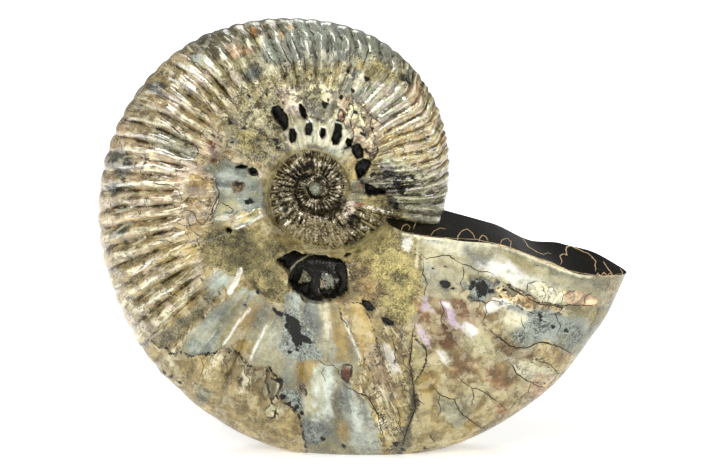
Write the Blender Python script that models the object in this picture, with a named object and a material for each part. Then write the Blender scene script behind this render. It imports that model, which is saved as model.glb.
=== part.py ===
"""A Deshayesites ammonite: one fossil shell, polished, sawn through at its open end and ground flat
underneath so that it stands on its outer edge.

Metres, +Z up. The coiling axis runs along Y and the shown side faces -Y. Angles are degrees of growth,
anticlockwise from +X as seen from that side, and the shell gets larger as the angle grows.
A reach is a distance from the coiling axis, as a share of the outer radius at that growth angle.
"""

import math

import bmesh
import bpy
from mathutils import Matrix, Vector

# The coil
SAW_RADIUS = 0.0767  # outer edge at the sawn end, from the coiling axis
SAW_ANGLE = 344.7
LAST_TURN = SAW_ANGLE - 360  # growth angle at which the last turn begins
EXPANSION = 2.53  # growth of every size in one full turn
INNER_TURNS = 2  # turns modelled inside the last one
BASE_DROP = 0.0640  # the ground flat lies this far below the coiling axis

# The cross-section, as shares of the outer radius
HALF_THICKNESS = 0.236
THICKEST_REACH = 0.42
FLANK_POWER = 2.4
WALL_POWER = 9.0
# Where the turn meets the one inside it: growth angle, reach
SEAM = ((-15, 0.232), (90, 0.240), (180, 0.214), (270, 0.205), (315, 0.222), (345, 0.240))
WALL_SHARES = (0.0, 0.05, 0.2, 1.0)  # rows from the seam to where the next turn covers this one
OUTER_REACHES = (0.71, 0.81, 0.90, 0.963, 0.991, 1.0)

# How far the outline stands out of a true spiral: growth angle, share of the radius
SWELLS = (
    (-15, 0.0), (0, 0.0), (60, 0.030), (90, 0.009), (135, 0.027), (180, 0.022), (205, 0.014),
    (225, 0.021), (262, 0.042), (298, 0.052), (315, 0.044), (332, 0.019), (345, 0.002),
)

# The ribs
COLUMNS_PER_TURN = 136
COLUMN_STEP = 360 / COLUMNS_PER_TURN
COLUMNS_PER_MAIN_RIB = 4  # a short rib lies halfway between each two main ribs
RIB_RELIEF = 0.008  # half of crest to trough, as a share of the outer radius
SHORT_RIB_REACHES = (0.52, 0.7)  # short ribs rise between these reaches
SHORT_RIB_FADE = (215, 240)  # growth angles between which the short ribs die out
EDGE_FADE = (225, 260)  # and the main ribs near the outer edge
FLANK_FADE = (262, 300)  # and the main ribs on the flank
EDGE_REACH = 0.85
INNER_RIB_START = (0.23, 0.36)  # on the inner turns ribs rise between these reaches
# How strong the ribs are on the last turn, by reach, and the growth angles over which that sets in
FLANK_STRENGTH = ((0.25, 0.0), (0.36, 0.35), (0.55, 0.45), (0.68, 1.0))
FLANK_TAKEOVER = (-30, 20)
# How far a rib leans forward along the growth: reach, degrees
RIB_LEAN = ((0.24, 0.0), (0.57, 0.0), (0.78, 0.8), (0.9, 2.2), (1.0, 5.0))
LEAN_STRENGTH = ((-15.3, 0.0), (5, 1.0), (90, 1.0), (150, 0.5), (320, 0.5), (344.7, 0.0))

# The pale plug of calcite at the centre
PLUG_RADIUS = 0.0014
PLUG_FOOT = 0.0003
PLUG_HEIGHT = 0.0010

# The sawn end, by reach: how far its two edges dip under the saw plane, and the folds of the last
# chamber wall between them, in metres
SHOWN_EDGE_DIP = ((0.3, 0.0016), (0.42, 0.0004), (0.58, -0.0013), (0.71, -0.0004), (0.83, 0.0012), (1, 0))
FAR_EDGE_DIP = ((0.58, 0.0), (0.71, 0.0014), (0.81, -0.0002), (0.90, -0.0008), (1.0, 0.0))
DIP_DEPTH = 8  # degrees back from the saw plane over which the dips die out
SAW_FOLDS = ((0.61, 0.0), (0.71, 0.0010), (0.81, -0.0008), (0.90, 0.0008), (0.96, 0.0))
SAW_DIVISIONS = 6

# Open pockets on the shown side: growth angle, reach, length along the coil, width, depth, in metres
POCKETS = {
    "big": (265, 0.288, 0.0180, 0.0105, 0.0050),
    "right": (17, 0.425, 0.0076, 0.0054, 0.0028),
    "top_right": (70, 0.410, 0.0034, 0.0068, 0.0024),
    "top": (85, 0.395, 0.0026, 0.0046, 0.0020),
    "top_middle": (107, 0.400, 0.0026, 0.0042, 0.0020),
    "top_left": (115, 0.480, 0.0034, 0.0068, 0.0024),
    "upper_left": (161, 0.345, 0.0046, 0.0032, 0.0020),
    "lower_right": (296, 0.450, 0.0110, 0.0030, 0.0018),
}
POCKET_ROUGHNESS = 0.12
POCKET_SIDES = 9
POCKET_RINGS = 5


def smooth_step(value, low, high):
    """0 below low, 1 above high, and an even S between them."""
    share = min(1.0, max(0.0, (value - low) / (high - low)))
    return share * share * (3 - 2 * share)


def along(stops, value):
    """Reads a list of (place, amount) pairs at a place, with a smooth curve between each two."""
    if value <= stops[0][0]:
        return stops[0][1]
    for (low, from_amount), (high, to_amount) in zip(stops, stops[1:]):
        if value <= high:
            return from_amount + (to_amount - from_amount) * smooth_step(value, low, high)
    return stops[-1][1]


def spiral_radius(angle):
    return SAW_RADIUS * EXPANSION ** ((angle - SAW_ANGLE) / 360)


def covered_reach(angle):
    """From here outwards the next turn covers this one."""
    return along(SEAM, angle + 360) * EXPANSION


def outer_flank(reach):
    share = (reach - THICKEST_REACH) / (1 - THICKEST_REACH)
    return HALF_THICKNESS * math.sqrt(max(0.0, 1 - share**FLANK_POWER))


def flank(reach, seam):
    """Half of the thickness at a reach, both as shares of the outer radius."""
    if reach >= THICKEST_REACH:
        return outer_flank(reach)
    start = outer_flank(seam * EXPANSION) / EXPANSION
    share = max(0.0, (reach - seam) / (THICKEST_REACH - seam))
    return start + (HALF_THICKNESS - start) * math.sqrt(1 - (1 - share) ** WALL_POWER)


def flank_normal(reach, seam):
    """The outward direction in the plane of the section, as (outwards, sideways)."""
    if reach == 1.0:
        return Vector((1.0, 0.0))
    low = max(seam, reach - 0.002)
    high = min(1.0, reach + 0.002)
    return Vector((flank(low, seam) - flank(high, seam), high - low)).normalized()


def rib(column, reach, angle):
    """Height of the ribs, from -1 in a trough to 1 on a crest, at a column of the lattice."""
    main = math.cos(2 * math.pi * column / COLUMNS_PER_MAIN_RIB)
    all_ribs = math.cos(4 * math.pi * column / COLUMNS_PER_MAIN_RIB)
    short = smooth_step(reach, *SHORT_RIB_REACHES) * (1 - smooth_step(angle, *SHORT_RIB_FADE))
    fade = smooth_step(angle, *(EDGE_FADE if reach > EDGE_REACH else FLANK_FADE))
    inner_turns = smooth_step(reach, *INNER_RIB_START)
    last_turn = along(FLANK_STRENGTH, reach)
    strength = inner_turns + (last_turn - inner_turns) * smooth_step(angle, *FLANK_TAKEOVER)
    return strength * (main + (all_ribs - main) * short) * (1 - fade)


def shell_point(column, angle, reach, side):
    """A point of the surface. side is -1 on the shown side and 1 on the other."""
    seam = along(SEAM, angle)
    size = spiral_radius(angle)
    if angle > LAST_TURN:
        size *= 1 + along(SWELLS, angle) * smooth_step(reach, 0.6, 0.9)
    normal = flank_normal(reach, seam)
    relief = RIB_RELIEF * rib(column, reach, angle)
    outwards = (reach + relief * normal[0]) * size
    sideways = (flank(reach, seam) + relief * normal[1]) * size
    turn = math.radians(angle + along(RIB_LEAN, reach) * along(LEAN_STRENGTH, angle))
    radial = Vector((math.cos(turn), 0, math.sin(turn)))
    backwards = Vector((math.sin(turn), 0, -math.cos(turn)))
    dip = along(SHOWN_EDGE_DIP if side < 0 else FAR_EDGE_DIP, reach)
    dip *= smooth_step(angle, SAW_ANGLE - DIP_DEPTH, SAW_ANGLE)
    return outwards * radial + dip * backwards + Vector((0, side * sideways, 0))


def exposed_point(column, angle, share, side):
    """A point between the seam and the edge of the next turn, kept clear of the plug at the centre."""
    seam = along(SEAM, angle)
    covered = covered_reach(angle)
    clear = 1.1 * PLUG_RADIUS / spiral_radius(angle)
    start = max(seam, clear)
    return shell_point(column, angle, start + share * (covered - start), side)


def lay_side(mesh, side, outer_edge):
    """Makes one side's lattice of vertices, as a list of columns. The sides share their outer edge."""
    total = round((INNER_TURNS + 1) * COLUMNS_PER_TURN)
    columns = []
    for column in range(total + 1):
        angle = SAW_ANGLE + (column - total) * COLUMN_STEP
        points = []
        for share in WALL_SHARES:
            if share == 0 and column >= COLUMNS_PER_TURN:
                points.append(columns[column - COLUMNS_PER_TURN][len(WALL_SHARES) - 1])
            else:
                points.append(mesh.verts.new(exposed_point(column, angle, share, side)))
        if column >= total - COLUMNS_PER_TURN:
            for reach in OUTER_REACHES[:-1]:
                points.append(mesh.verts.new(shell_point(column, angle, reach, side)))
            if column not in outer_edge:
                outer_edge[column] = mesh.verts.new(shell_point(column, angle, 1.0, side))
            points.append(outer_edge[column])
        columns.append(points)
    return columns


def skin_side(mesh, columns):
    """Faces between each two columns, as far out as both of them go."""
    for left, right in zip(columns, columns[1:]):
        rows = min(len(left), len(right))
        for row in range(rows - 1):
            mesh.faces.new((left[row], right[row], right[row + 1], left[row + 1]))


def fill_centre(mesh, columns, side):
    """Closes the innermost turn with a step, a ring and the plug's dome."""
    skip = COLUMNS_PER_MAIN_RIB
    first = columns[0]
    rim = [column[0] for column in columns[:COLUMNS_PER_TURN]] + [first[-1]]
    start_angle = SAW_ANGLE - 360 * (INNER_TURNS + 1)
    ring = []
    for column in range(0, COLUMNS_PER_TURN, skip):
        turn = math.radians(start_angle + column * COLUMN_STEP)
        place = (PLUG_RADIUS * math.cos(turn), side * PLUG_FOOT, PLUG_RADIUS * math.sin(turn))
        ring.append(mesh.verts.new(place))
    ring.append(ring[0])
    for step in range(len(ring) - 1):
        stretch = rim[step * skip : (step + 1) * skip + 1]
        mesh.faces.new((ring[step + 1], ring[step], *stretch))
    mesh.faces.new((ring[0], *first))
    dome = [mesh.verts.new((0.6 * v.co.x, side * 0.8 * PLUG_HEIGHT, 0.6 * v.co.z)) for v in ring[:-1]]
    dome.append(dome[0])
    top = mesh.verts.new((0, side * PLUG_HEIGHT, 0))
    for step in range(len(ring) - 1):
        mesh.faces.new((ring[step], ring[step + 1], dome[step + 1], dome[step]))
        mesh.faces.new((dome[step], dome[step + 1], top))


def fill_sawn_end(mesh, shown, far):
    """The sawn end: a folded wall from side to side, and a flat collar round the turn inside it."""
    forwards = Vector((-math.sin(math.radians(SAW_ANGLE)), 0, math.cos(math.radians(SAW_ANGLE))))
    covered = len(WALL_SHARES) - 1
    rows = [[shown[-1][row], far[-1][row]] for row in range(covered, covered + len(OUTER_REACHES))]
    reaches = (covered_reach(SAW_ANGLE), *OUTER_REACHES)
    for row, reach in zip(rows, reaches):
        start, end = row[0].co.copy(), row[-1].co.copy()
        for step in range(1, SAW_DIVISIONS):
            share = step / SAW_DIVISIONS
            place = start.lerp(end, share) + forwards * along(SAW_FOLDS, reach) * math.sin(math.pi * share)
            row.insert(-1, mesh.verts.new(place))
    for lower, upper in zip(rows, rows[1:]):
        for step in range(SAW_DIVISIONS):
            mesh.faces.new((lower[step], lower[step + 1], upper[step + 1], upper[step]))
    mesh.faces.new((*rows[-1], shown[-1][-1]))
    before = -1 - COLUMNS_PER_TURN
    collar = [shown[-1][row] for row in range(covered, 0, -1)]
    collar += shown[before][covered:]
    collar += reversed(far[before][covered:-1])
    collar += [far[-1][row] for row in range(1, covered)]
    collar += reversed(rows[0][1:])
    mesh.faces.new(collar)


def grind_base(mesh):
    """Cuts off what lies below the ground flat and closes the cut."""
    everything = mesh.verts[:] + mesh.edges[:] + mesh.faces[:]
    level = Vector((0, 0, -BASE_DROP))
    cut = bmesh.ops.bisect_plane(
        mesh, geom=everything, plane_co=level, plane_no=(0, 0, -1), clear_outer=True, dist=1e-7
    )
    rim = [piece for piece in cut["geom_cut"] if isinstance(piece, bmesh.types.BMEdge)]
    bmesh.ops.edgeloop_fill(mesh, edges=rim)


def shell_object(material):
    mesh = bmesh.new()
    outer_edge = {}
    shown = lay_side(mesh, -1, outer_edge)
    far = lay_side(mesh, 1, outer_edge)
    for columns, side in ((shown, -1), (far, 1)):
        skin_side(mesh, columns)
        fill_centre(mesh, columns, side)
    fill_sawn_end(mesh, shown, far)
    grind_base(mesh)
    bmesh.ops.triangulate(mesh, faces=mesh.faces[:])
    bmesh.ops.recalc_face_normals(mesh, faces=mesh.faces[:])
    data = bpy.data.meshes.new("ammonite")
    mesh.to_mesh(data)
    mesh.free()
    data.materials.append(material)
    shell = bpy.data.objects.new("ammonite", data)
    bpy.context.scene.collection.objects.link(shell)
    return shell


def pocket_cutter(name, angle, reach, length, width, depth):
    """A lumpy ball that cuts one open pocket, turned to lie along the coil."""
    mesh = bmesh.new()
    bmesh.ops.create_uvsphere(mesh, u_segments=POCKET_SIDES, v_segments=POCKET_RINGS, radius=1)
    bmesh.ops.rotate(mesh, verts=mesh.verts, matrix=Matrix.Rotation(math.pi / 2, 3, "X"))
    for vertex in mesh.verts:
        wave = math.sin(5 * vertex.co.x + angle) + math.sin(6 * vertex.co.z + reach * 9)
        vertex.co *= 1 + POCKET_ROUGHNESS * wave / 2
    size = Matrix.Diagonal((width / 2, depth, length / 2, 1))
    turn = math.radians(angle)
    radius = spiral_radius(angle)
    sideways = flank(reach, along(SEAM, angle)) * radius
    place = Vector((reach * radius * math.cos(turn), -sideways, reach * radius * math.sin(turn)))
    matrix = Matrix.Translation(place) @ Matrix.Rotation(-turn, 4, "Y") @ size
    bmesh.ops.transform(mesh, verts=mesh.verts, matrix=matrix)
    data = bpy.data.meshes.new(f"pocket_{name}")
    mesh.to_mesh(data)
    mesh.free()
    cutter = bpy.data.objects.new(data.name, data)
    cutter.hide_render = True
    cutter.display_type = "WIRE"
    bpy.context.scene.collection.objects.link(cutter)
    return cutter


def cut_pockets(shell):
    for name, shape in POCKETS.items():
        cut = shell.modifiers.new(name, "BOOLEAN")
        cut.operation = "DIFFERENCE"
        cut.object = pocket_cutter(name, *shape)


def fossil_material():
    material = bpy.data.materials.new("polished fossil shell")
    material.use_nodes = True
    shader = material.node_tree.nodes["Principled BSDF"]
    shader.inputs["Base Color"].default_value = (0.33, 0.25, 0.14, 1)
    shader.inputs["Roughness"].default_value = 0.25
    shader.inputs["Metallic"].default_value = 0.0
    return material


def stand(shell):
    """Puts the origin under the middle of the shell, level with the ground flat."""
    across = [vertex.co.x for vertex in shell.data.vertices]
    middle = (min(across) + max(across)) / 2
    to_origin = Matrix.Translation((-middle, 0, BASE_DROP))
    shell.data.transform(to_origin)
    for cutter in (thing for thing in bpy.data.objects if thing.hide_render):
        cutter.data.transform(to_origin)


def main():
    for old in list(bpy.data.objects):
        bpy.data.objects.remove(old, do_unlink=True)
    shell = shell_object(fossil_material())
    cut_pockets(shell)
    stand(shell)


main()
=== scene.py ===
"""The looks of a polished Deshayesites ammonite that stands on a small ground flat.

The shell's surface is wound from flat grids by the same measures as the solid. Angles are degrees of
growth, anticlockwise from +X as seen from the shown side. A reach is a distance from the coiling axis,
as a share of the outer radius at that angle. Places on the shown side are given in the photograph's
708 x 472 frame and laid on the shell from the camera.
"""

import math

import bpy
import numpy as np
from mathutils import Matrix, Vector
from mathutils.bvhtree import BVHTree


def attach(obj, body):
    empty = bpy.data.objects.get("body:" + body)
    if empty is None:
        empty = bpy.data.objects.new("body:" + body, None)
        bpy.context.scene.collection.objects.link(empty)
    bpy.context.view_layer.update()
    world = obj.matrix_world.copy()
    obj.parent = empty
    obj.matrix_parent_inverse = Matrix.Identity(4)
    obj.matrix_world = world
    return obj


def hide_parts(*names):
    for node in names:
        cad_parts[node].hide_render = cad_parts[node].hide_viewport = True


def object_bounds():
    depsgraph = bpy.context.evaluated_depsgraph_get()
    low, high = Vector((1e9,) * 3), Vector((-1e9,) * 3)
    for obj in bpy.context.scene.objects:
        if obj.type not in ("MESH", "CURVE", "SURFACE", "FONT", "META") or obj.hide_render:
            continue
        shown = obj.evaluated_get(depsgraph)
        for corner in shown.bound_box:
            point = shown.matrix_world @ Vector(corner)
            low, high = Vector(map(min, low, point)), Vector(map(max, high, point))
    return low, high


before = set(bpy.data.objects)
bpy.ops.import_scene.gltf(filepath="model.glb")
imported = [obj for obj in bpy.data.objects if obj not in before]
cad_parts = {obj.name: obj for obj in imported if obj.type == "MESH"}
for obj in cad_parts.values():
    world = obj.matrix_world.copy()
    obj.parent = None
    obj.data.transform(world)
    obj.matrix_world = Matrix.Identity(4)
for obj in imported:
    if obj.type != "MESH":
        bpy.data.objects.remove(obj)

CAD_LOW, CAD_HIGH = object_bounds()

# The camera: how it stands to the shell, and the photograph's frame
CAMERA_ELEVATION = math.radians(10.8)
CAMERA_DISTANCE = 0.5
CAMERA_TARGET = (-0.00207, 0.0, 0.05236)
PICTURE = (708, 472)
PIXELS_PER_METRE = 4200  # at the target
SENSOR = 36.0
AHEAD = np.array([0, math.cos(CAMERA_ELEVATION), -math.sin(CAMERA_ELEVATION)])
UP = np.array([0, math.sin(CAMERA_ELEVATION), math.cos(CAMERA_ELEVATION)])
EYE = np.array(CAMERA_TARGET) - AHEAD * CAMERA_DISTANCE
SEEN_FACING = (-0.30, -0.05)  # how squarely a face has to meet the camera to take the shown side's markings

# The coil, as in the solid
SAW_RADIUS = 0.0767
SAW_ANGLE = 344.7
LAST_TURN = SAW_ANGLE - 360
EXPANSION = 2.53
BASE_DROP = 0.0640
HALF_THICKNESS = 0.236
THICKEST_REACH = 0.42
FLANK_POWER = 2.4
WALL_POWER = 9.0
SEAM = ((-15, 0.232), (90, 0.240), (180, 0.214), (270, 0.205), (315, 0.222), (345, 0.240))
SWELLS = (
    (-15, 0.0), (0, 0.0), (60, 0.030), (90, 0.009), (135, 0.027), (180, 0.022), (205, 0.014),
    (225, 0.021), (262, 0.042), (298, 0.052), (315, 0.044), (332, 0.019), (345, 0.002),
)
RIB_PITCH = 720 / 136  # degrees from one rib to the next on the outer edge
RIB_RELIEF = 0.008
RIB_LEAN = ((0.24, 0.0), (0.57, 0.0), (0.78, 0.8), (0.9, 2.2), (1.0, 5.0))
LEAN_STRENGTH = ((-15.3, 0.0), (5, 1.0), (90, 1.0), (150, 0.5), (320, 0.5), (344.7, 0.0))
SHOWN_EDGE_DIP = ((0.3, 0.0016), (0.42, 0.0004), (0.58, -0.0013), (0.71, -0.0004), (0.83, 0.0012), (1, 0))
FAR_EDGE_DIP = ((0.58, 0.0), (0.71, 0.0014), (0.81, -0.0002), (0.90, -0.0008), (1.0, 0.0))
DIP_DEPTH = 8
PLUG_RADIUS = 0.00168
PLUG_HALF_THICKNESS = 0.0030

# The ribs as the dressed shell has them
SHORT_RIBS = (0.52, 0.70)  # reaches between which the short ribs rise
# The last turn's rib strength by reach, and how bold the ribs are by angle
LAST_RIB_STRENGTH = ((0.25, 0.0), (0.36, 0.35), (0.55, 0.45), (0.68, 1.0), (0.9, 0.85), (1.0, 0.6))
RIB_BOLDNESS = ((-10, 1.5), (60, 1.3), (110, 1.7), (215, 1.9), (262, 1.7), (300, 1.2))
FINE_RIB_RELIEF = 0.005
SWEEP = 24  # degrees that the ribs on the right lean back
SWEEP_REACH = 0.88
BEAD_RELIEF = 0.016
BEAD_SPACING = 0.17  # in reach
TINY = 1e-12  # keeps a length from being nought where it divides
MILLIMETRE = 0.001
RIM_WIDTH = 4  # pixels over which the dark outline of a patch fades
SHARP_EDGE = math.radians(50)  # edges bent further than this stay sharp

# How finely the shell is laid out
START_ANGLE = LAST_TURN - 9  # the last turn's hidden start
INNER_START = LAST_TURN - 360 * 2.75
BAND_REACH = 0.60  # outside this reach the columns are twice as many
FAR_COLUMNS = 204  # inside the band reach on the far side; twice as many outside it and on the shown side
FAR_ROWS = (29, 30)  # inside and outside the band reach; twice as many on the shown side
CUT_ROWS = 18  # across the sawn end
INNER_COLUMNS = 960
INNER_ROWS = 13  # on the far side; twice as many on the shown side
FOOT_REACHES = (0.17, 0.19, 0.21, 0.225)  # the hidden foot of the umbilical wall
INNER_REACHES = (0.17, 0.66)
USUAL_SEAM = 0.228  # the seam as it mostly is, for laying the rows out
FINE_STEPS = 6000  # steps in which a line is measured before it is shared out evenly


def smooth_step(value, low, high):
    """Rises smoothly from 0 at low to 1 at high."""
    share = np.clip((value - low) / (high - low), 0, 1)
    return share * share * (3 - 2 * share)


def along(stops, value):
    """Reads (place, amount) pairs at each value, with a smooth curve between each two."""
    places = np.array([stop[0] for stop in stops], float)
    amounts = np.array([stop[1] for stop in stops], float)
    value = np.clip(value, places[0], places[-1])
    right = np.clip(np.searchsorted(places, value), 1, len(places) - 1)
    share = smooth_step(value, places[right - 1], places[right])
    if amounts.ndim > 1:
        share = share[:, None]
    return amounts[right - 1] + (amounts[right] - amounts[right - 1]) * share


def scatter(x, y, z, seed):
    """A repeatable number from 0 to 1 for each whole-number place."""
    mixed = (x * 374761393 + y * 668265263 + z * 1274126177 + seed * 362437) & 0xFFFFFFFF
    mixed = ((mixed ^ (mixed >> 13)) * 1103515245) & 0xFFFFFFFF
    mixed = ((mixed ^ (mixed >> 16)) * 2246822519) & 0xFFFFFFFF
    return ((mixed ^ (mixed >> 15)) & 0xFFFFFF) / 0xFFFFFF


def noise(points, size, seed=1, octaves=1):
    """Smooth noise from about -1 to 1 at (n, 3) points, with lumps of that size."""
    total, weight, amount = 0.0, 0.0, 1.0
    for octave in range(octaves):
        place = points * (2**octave / size) + seed * 3.7
        cell = np.floor(place).astype(np.int64)
        share = place - cell
        share = share * share * (3 - 2 * share)
        value = 0.0
        for corner in range(8):
            step = np.array([corner & 1, corner >> 1 & 1, corner >> 2 & 1])
            part = np.prod(np.where(step == 1, share, 1 - share), axis=1)
            value = value + part * scatter(*(cell + step).T, seed + octave)
        total = total + (value * 2 - 1) * amount
        weight += amount
        amount *= 0.5
    return total / weight * 1.6


def spiral_radius(angle):
    """The outer radius at a growth angle."""
    return SAW_RADIUS * EXPANSION ** ((angle - SAW_ANGLE) / 360)


def outer_flank(reach):
    """Half of the thickness outside the thickest place."""
    share = np.maximum(0, (reach - THICKEST_REACH) / (1 - THICKEST_REACH))
    return HALF_THICKNESS * np.sqrt(np.maximum(0, 1 - share**FLANK_POWER))


def flank(reach, seam):
    """Half of the thickness at a reach, both as shares of the outer radius."""
    start = outer_flank(seam * EXPANSION) / EXPANSION
    share = np.clip((reach - seam) / (THICKEST_REACH - seam), 0, 1)
    wall = start + (HALF_THICKNESS - start) * np.sqrt(1 - (1 - share) ** WALL_POWER)
    return np.where(reach >= THICKEST_REACH, outer_flank(reach), wall)


def plain_shell(angle, reach, side):
    """Points of the shell with no ribs, in the object's own frame."""
    seam = along(SEAM, (angle - LAST_TURN) % 360 + LAST_TURN)
    size = spiral_radius(angle)
    size = size * (1 + np.where(angle > LAST_TURN, along(SWELLS, angle) * smooth_step(reach, 0.6, 0.9), 0))
    outwards = reach * size
    sideways = flank(np.maximum(reach, seam), seam) * size
    turn = np.radians(angle + along(RIB_LEAN, reach) * along(LEAN_STRENGTH, angle))
    dip = np.where(side < 0, along(SHOWN_EDGE_DIP, reach), along(FAR_EDGE_DIP, reach))
    dip = dip * smooth_step(angle, SAW_ANGLE - DIP_DEPTH, SAW_ANGLE)
    across = outwards * np.cos(turn) + dip * np.sin(turn)
    up = outwards * np.sin(turn) - dip * np.cos(turn)
    return np.stack([across, side * sideways, up], axis=1)


TIP = plain_shell(np.array([SAW_ANGLE]), np.array([1.0]), np.array([-1.0]))[0]
COIL_CENTRE = np.array([CAD_HIGH.x - TIP[0], 0.0, BASE_DROP])


def shell_normal(angle, reach, side):
    """The outward direction of the plain shell, from points a little way off."""
    step_angle, step_reach = 0.2, 0.002
    low, high = np.maximum(reach - step_reach, 0.0), np.minimum(reach + step_reach, 0.9999)
    by_reach = plain_shell(angle, high, side) - plain_shell(angle, low, side)
    by_angle = plain_shell(angle + step_angle, reach, side) - plain_shell(angle - step_angle, reach, side)
    normal = np.cross(by_reach, by_angle) * -side[:, None]
    normal /= np.linalg.norm(normal, axis=1, keepdims=True) + TINY
    turn = np.radians(angle + RIB_LEAN[-1][1] * along(LEAN_STRENGTH, angle))
    outwards = np.stack([np.cos(turn), np.zeros(len(turn)), np.sin(turn)], axis=1)
    at_edge = smooth_step(reach, 0.9985, 0.9999)[:, None]
    normal = normal * (1 - at_edge) + outwards * at_edge
    return normal / (np.linalg.norm(normal, axis=1, keepdims=True) + TINY)


def with_middles(stops):
    """The same stops with one more in the middle of each two."""
    middles = (stops[1:] + stops[:-1]) / 2
    return np.sort(np.concatenate([stops, middles]))


def even_reaches(low, high, count):
    """Reaches that lie evenly along the section's outline."""
    reach = np.linspace(low, high, FINE_STEPS)
    if high == 1:
        reach = 1 - (1 - low) * (1 - np.linspace(0, 1, FINE_STEPS)) ** 1.5
    height = flank(reach, USUAL_SEAM)
    length = np.concatenate([[0], np.cumsum(np.hypot(np.diff(reach), np.diff(height)))])
    stops = np.interp(np.linspace(0, length[-1], count + 1), length, reach)
    stops[0], stops[-1] = low, high
    return stops


def even_angles(start, end, count):
    """Growth angles that lie evenly along the coil."""
    radii = np.linspace(spiral_radius(start), spiral_radius(end), count + 1)
    return SAW_ANGLE + 360 * np.log(radii / SAW_RADIUS) / math.log(EXPANSION)


def read_points(piece):
    points = np.empty(len(piece.data.vertices) * 3, np.float32)
    piece.data.vertices.foreach_get("co", points)
    return points.reshape(-1, 3).astype(float)


def write_points(piece, points):
    piece.data.vertices.foreach_set("co", points.astype(np.float32).ravel())
    piece.data.update()


def read_value(piece, name):
    values = np.empty(len(piece.data.vertices), np.float32)
    piece.data.attributes[name].data.foreach_get("value", values)
    return values.astype(float)


def write_value(piece, name, values):
    attribute = piece.data.attributes.get(name) or piece.data.attributes.new(name, "FLOAT", "POINT")
    attribute.data.foreach_set("value", values.astype(np.float32))


def write_colour(piece, name, colours):
    attribute = piece.data.attributes.new(name, "FLOAT_COLOR", "POINT")
    rgba = np.concatenate([colours, np.ones((len(colours), 1))], axis=1)
    attribute.data.foreach_set("color", rgba.astype(np.float32).ravel())


def choose(piece):
    """Makes a piece the only one that is selected and the one that operators act on."""
    bpy.ops.object.select_all(action="DESELECT")
    piece.select_set(True)
    bpy.context.view_layer.objects.active = piece


def grid_piece(name, across, along_rows):
    """A flat grid whose vertices are numbered by column and row, as (piece, columns, rows)."""
    bpy.ops.mesh.primitive_grid_add(x_subdivisions=across, y_subdivisions=along_rows, size=2)
    piece = bpy.context.object
    piece.name = name
    flat = read_points(piece)
    columns = np.rint((flat[:, 0] + 1) / 2 * across).astype(int)
    rows = np.rint((flat[:, 1] + 1) / 2 * along_rows).astype(int)
    return piece, columns, rows


def flank_grid(name, angles, reaches, side):
    """A grid whose vertices know their growth angle, their reach and their side."""
    piece, columns, rows = grid_piece(name, len(angles) - 1, len(reaches) - 1)
    write_value(piece, "angle", angles[columns])
    write_value(piece, "reach", reaches[rows])
    write_value(piece, "side", np.full(len(columns), float(side)))
    return piece


def wall_grid(name, angles, reaches, count):
    """A grid from the shown side to the far one, along the given places of the section."""
    piece, columns, rows = grid_piece(name, len(angles) - 1, count)
    write_value(piece, "angle", angles[columns])
    write_value(piece, "reach", reaches[columns])
    write_value(piece, "side", rows / count * 2 - 1)
    return piece


def halve_edges(piece, values, place):
    """Puts a vertex in the middle of each edge that lies at that place of an attribute."""
    choose(piece)
    bpy.ops.object.mode_set(mode="EDIT")
    bpy.ops.mesh.select_mode(type="EDGE")
    bpy.ops.mesh.select_all(action="DESELECT")
    bpy.ops.object.mode_set(mode="OBJECT")
    there = np.abs(read_value(piece, values) - place) < 1e-4
    ends = np.empty(len(piece.data.edges) * 2, np.int32)
    piece.data.edges.foreach_get("vertices", ends)
    piece.data.edges.foreach_set("select", there[ends.reshape(-1, 2)].all(axis=1))
    bpy.ops.object.mode_set(mode="EDIT")
    bpy.ops.mesh.subdivide(number_cuts=1, ngon=True)
    bpy.ops.object.mode_set(mode="OBJECT")


def join_rim(wall, reach):
    """Takes out the vertices between the two sides along the wall's hidden foot."""
    choose(wall)
    bpy.ops.object.mode_set(mode="EDIT")
    bpy.ops.mesh.select_mode(type="VERT")
    bpy.ops.mesh.select_all(action="DESELECT")
    bpy.ops.object.mode_set(mode="OBJECT")
    between = np.abs(read_value(wall, "side")) < 0.999
    at_foot = np.abs(read_value(wall, "reach") - reach) < 1e-4
    wall.data.vertices.foreach_set("select", between & at_foot)
    bpy.ops.object.mode_set(mode="EDIT")
    bpy.ops.mesh.dissolve_verts()
    bpy.ops.object.mode_set(mode="OBJECT")


def wind(piece):
    """Lays a grid's vertices on the plain shell. Between the sides they lie on a straight line."""
    angle, reach, side = (read_value(piece, name) for name in ("angle", "reach", "side"))
    shown = plain_shell(angle, reach, np.full(len(side), -1.0))
    far = plain_shell(angle, reach, np.full(len(side), 1.0))
    share = (side[:, None] + 1) / 2
    write_points(piece, shown * (1 - share) + far * share + COIL_CENTRE)


def joined(pieces, name):
    """Joins grids, merges the vertices that meet and turns the faces outwards."""
    choose(pieces[0])
    for piece in pieces[1:]:
        piece.select_set(True)
    bpy.ops.object.join()
    whole = bpy.context.object
    whole.name = whole.data.name = name
    bpy.ops.object.mode_set(mode="EDIT")
    bpy.ops.mesh.select_all(action="SELECT")
    bpy.ops.mesh.remove_doubles(threshold=1e-6)
    bpy.ops.mesh.normals_make_consistent(inside=False)
    bpy.ops.object.mode_set(mode="OBJECT")
    return whole


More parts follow.
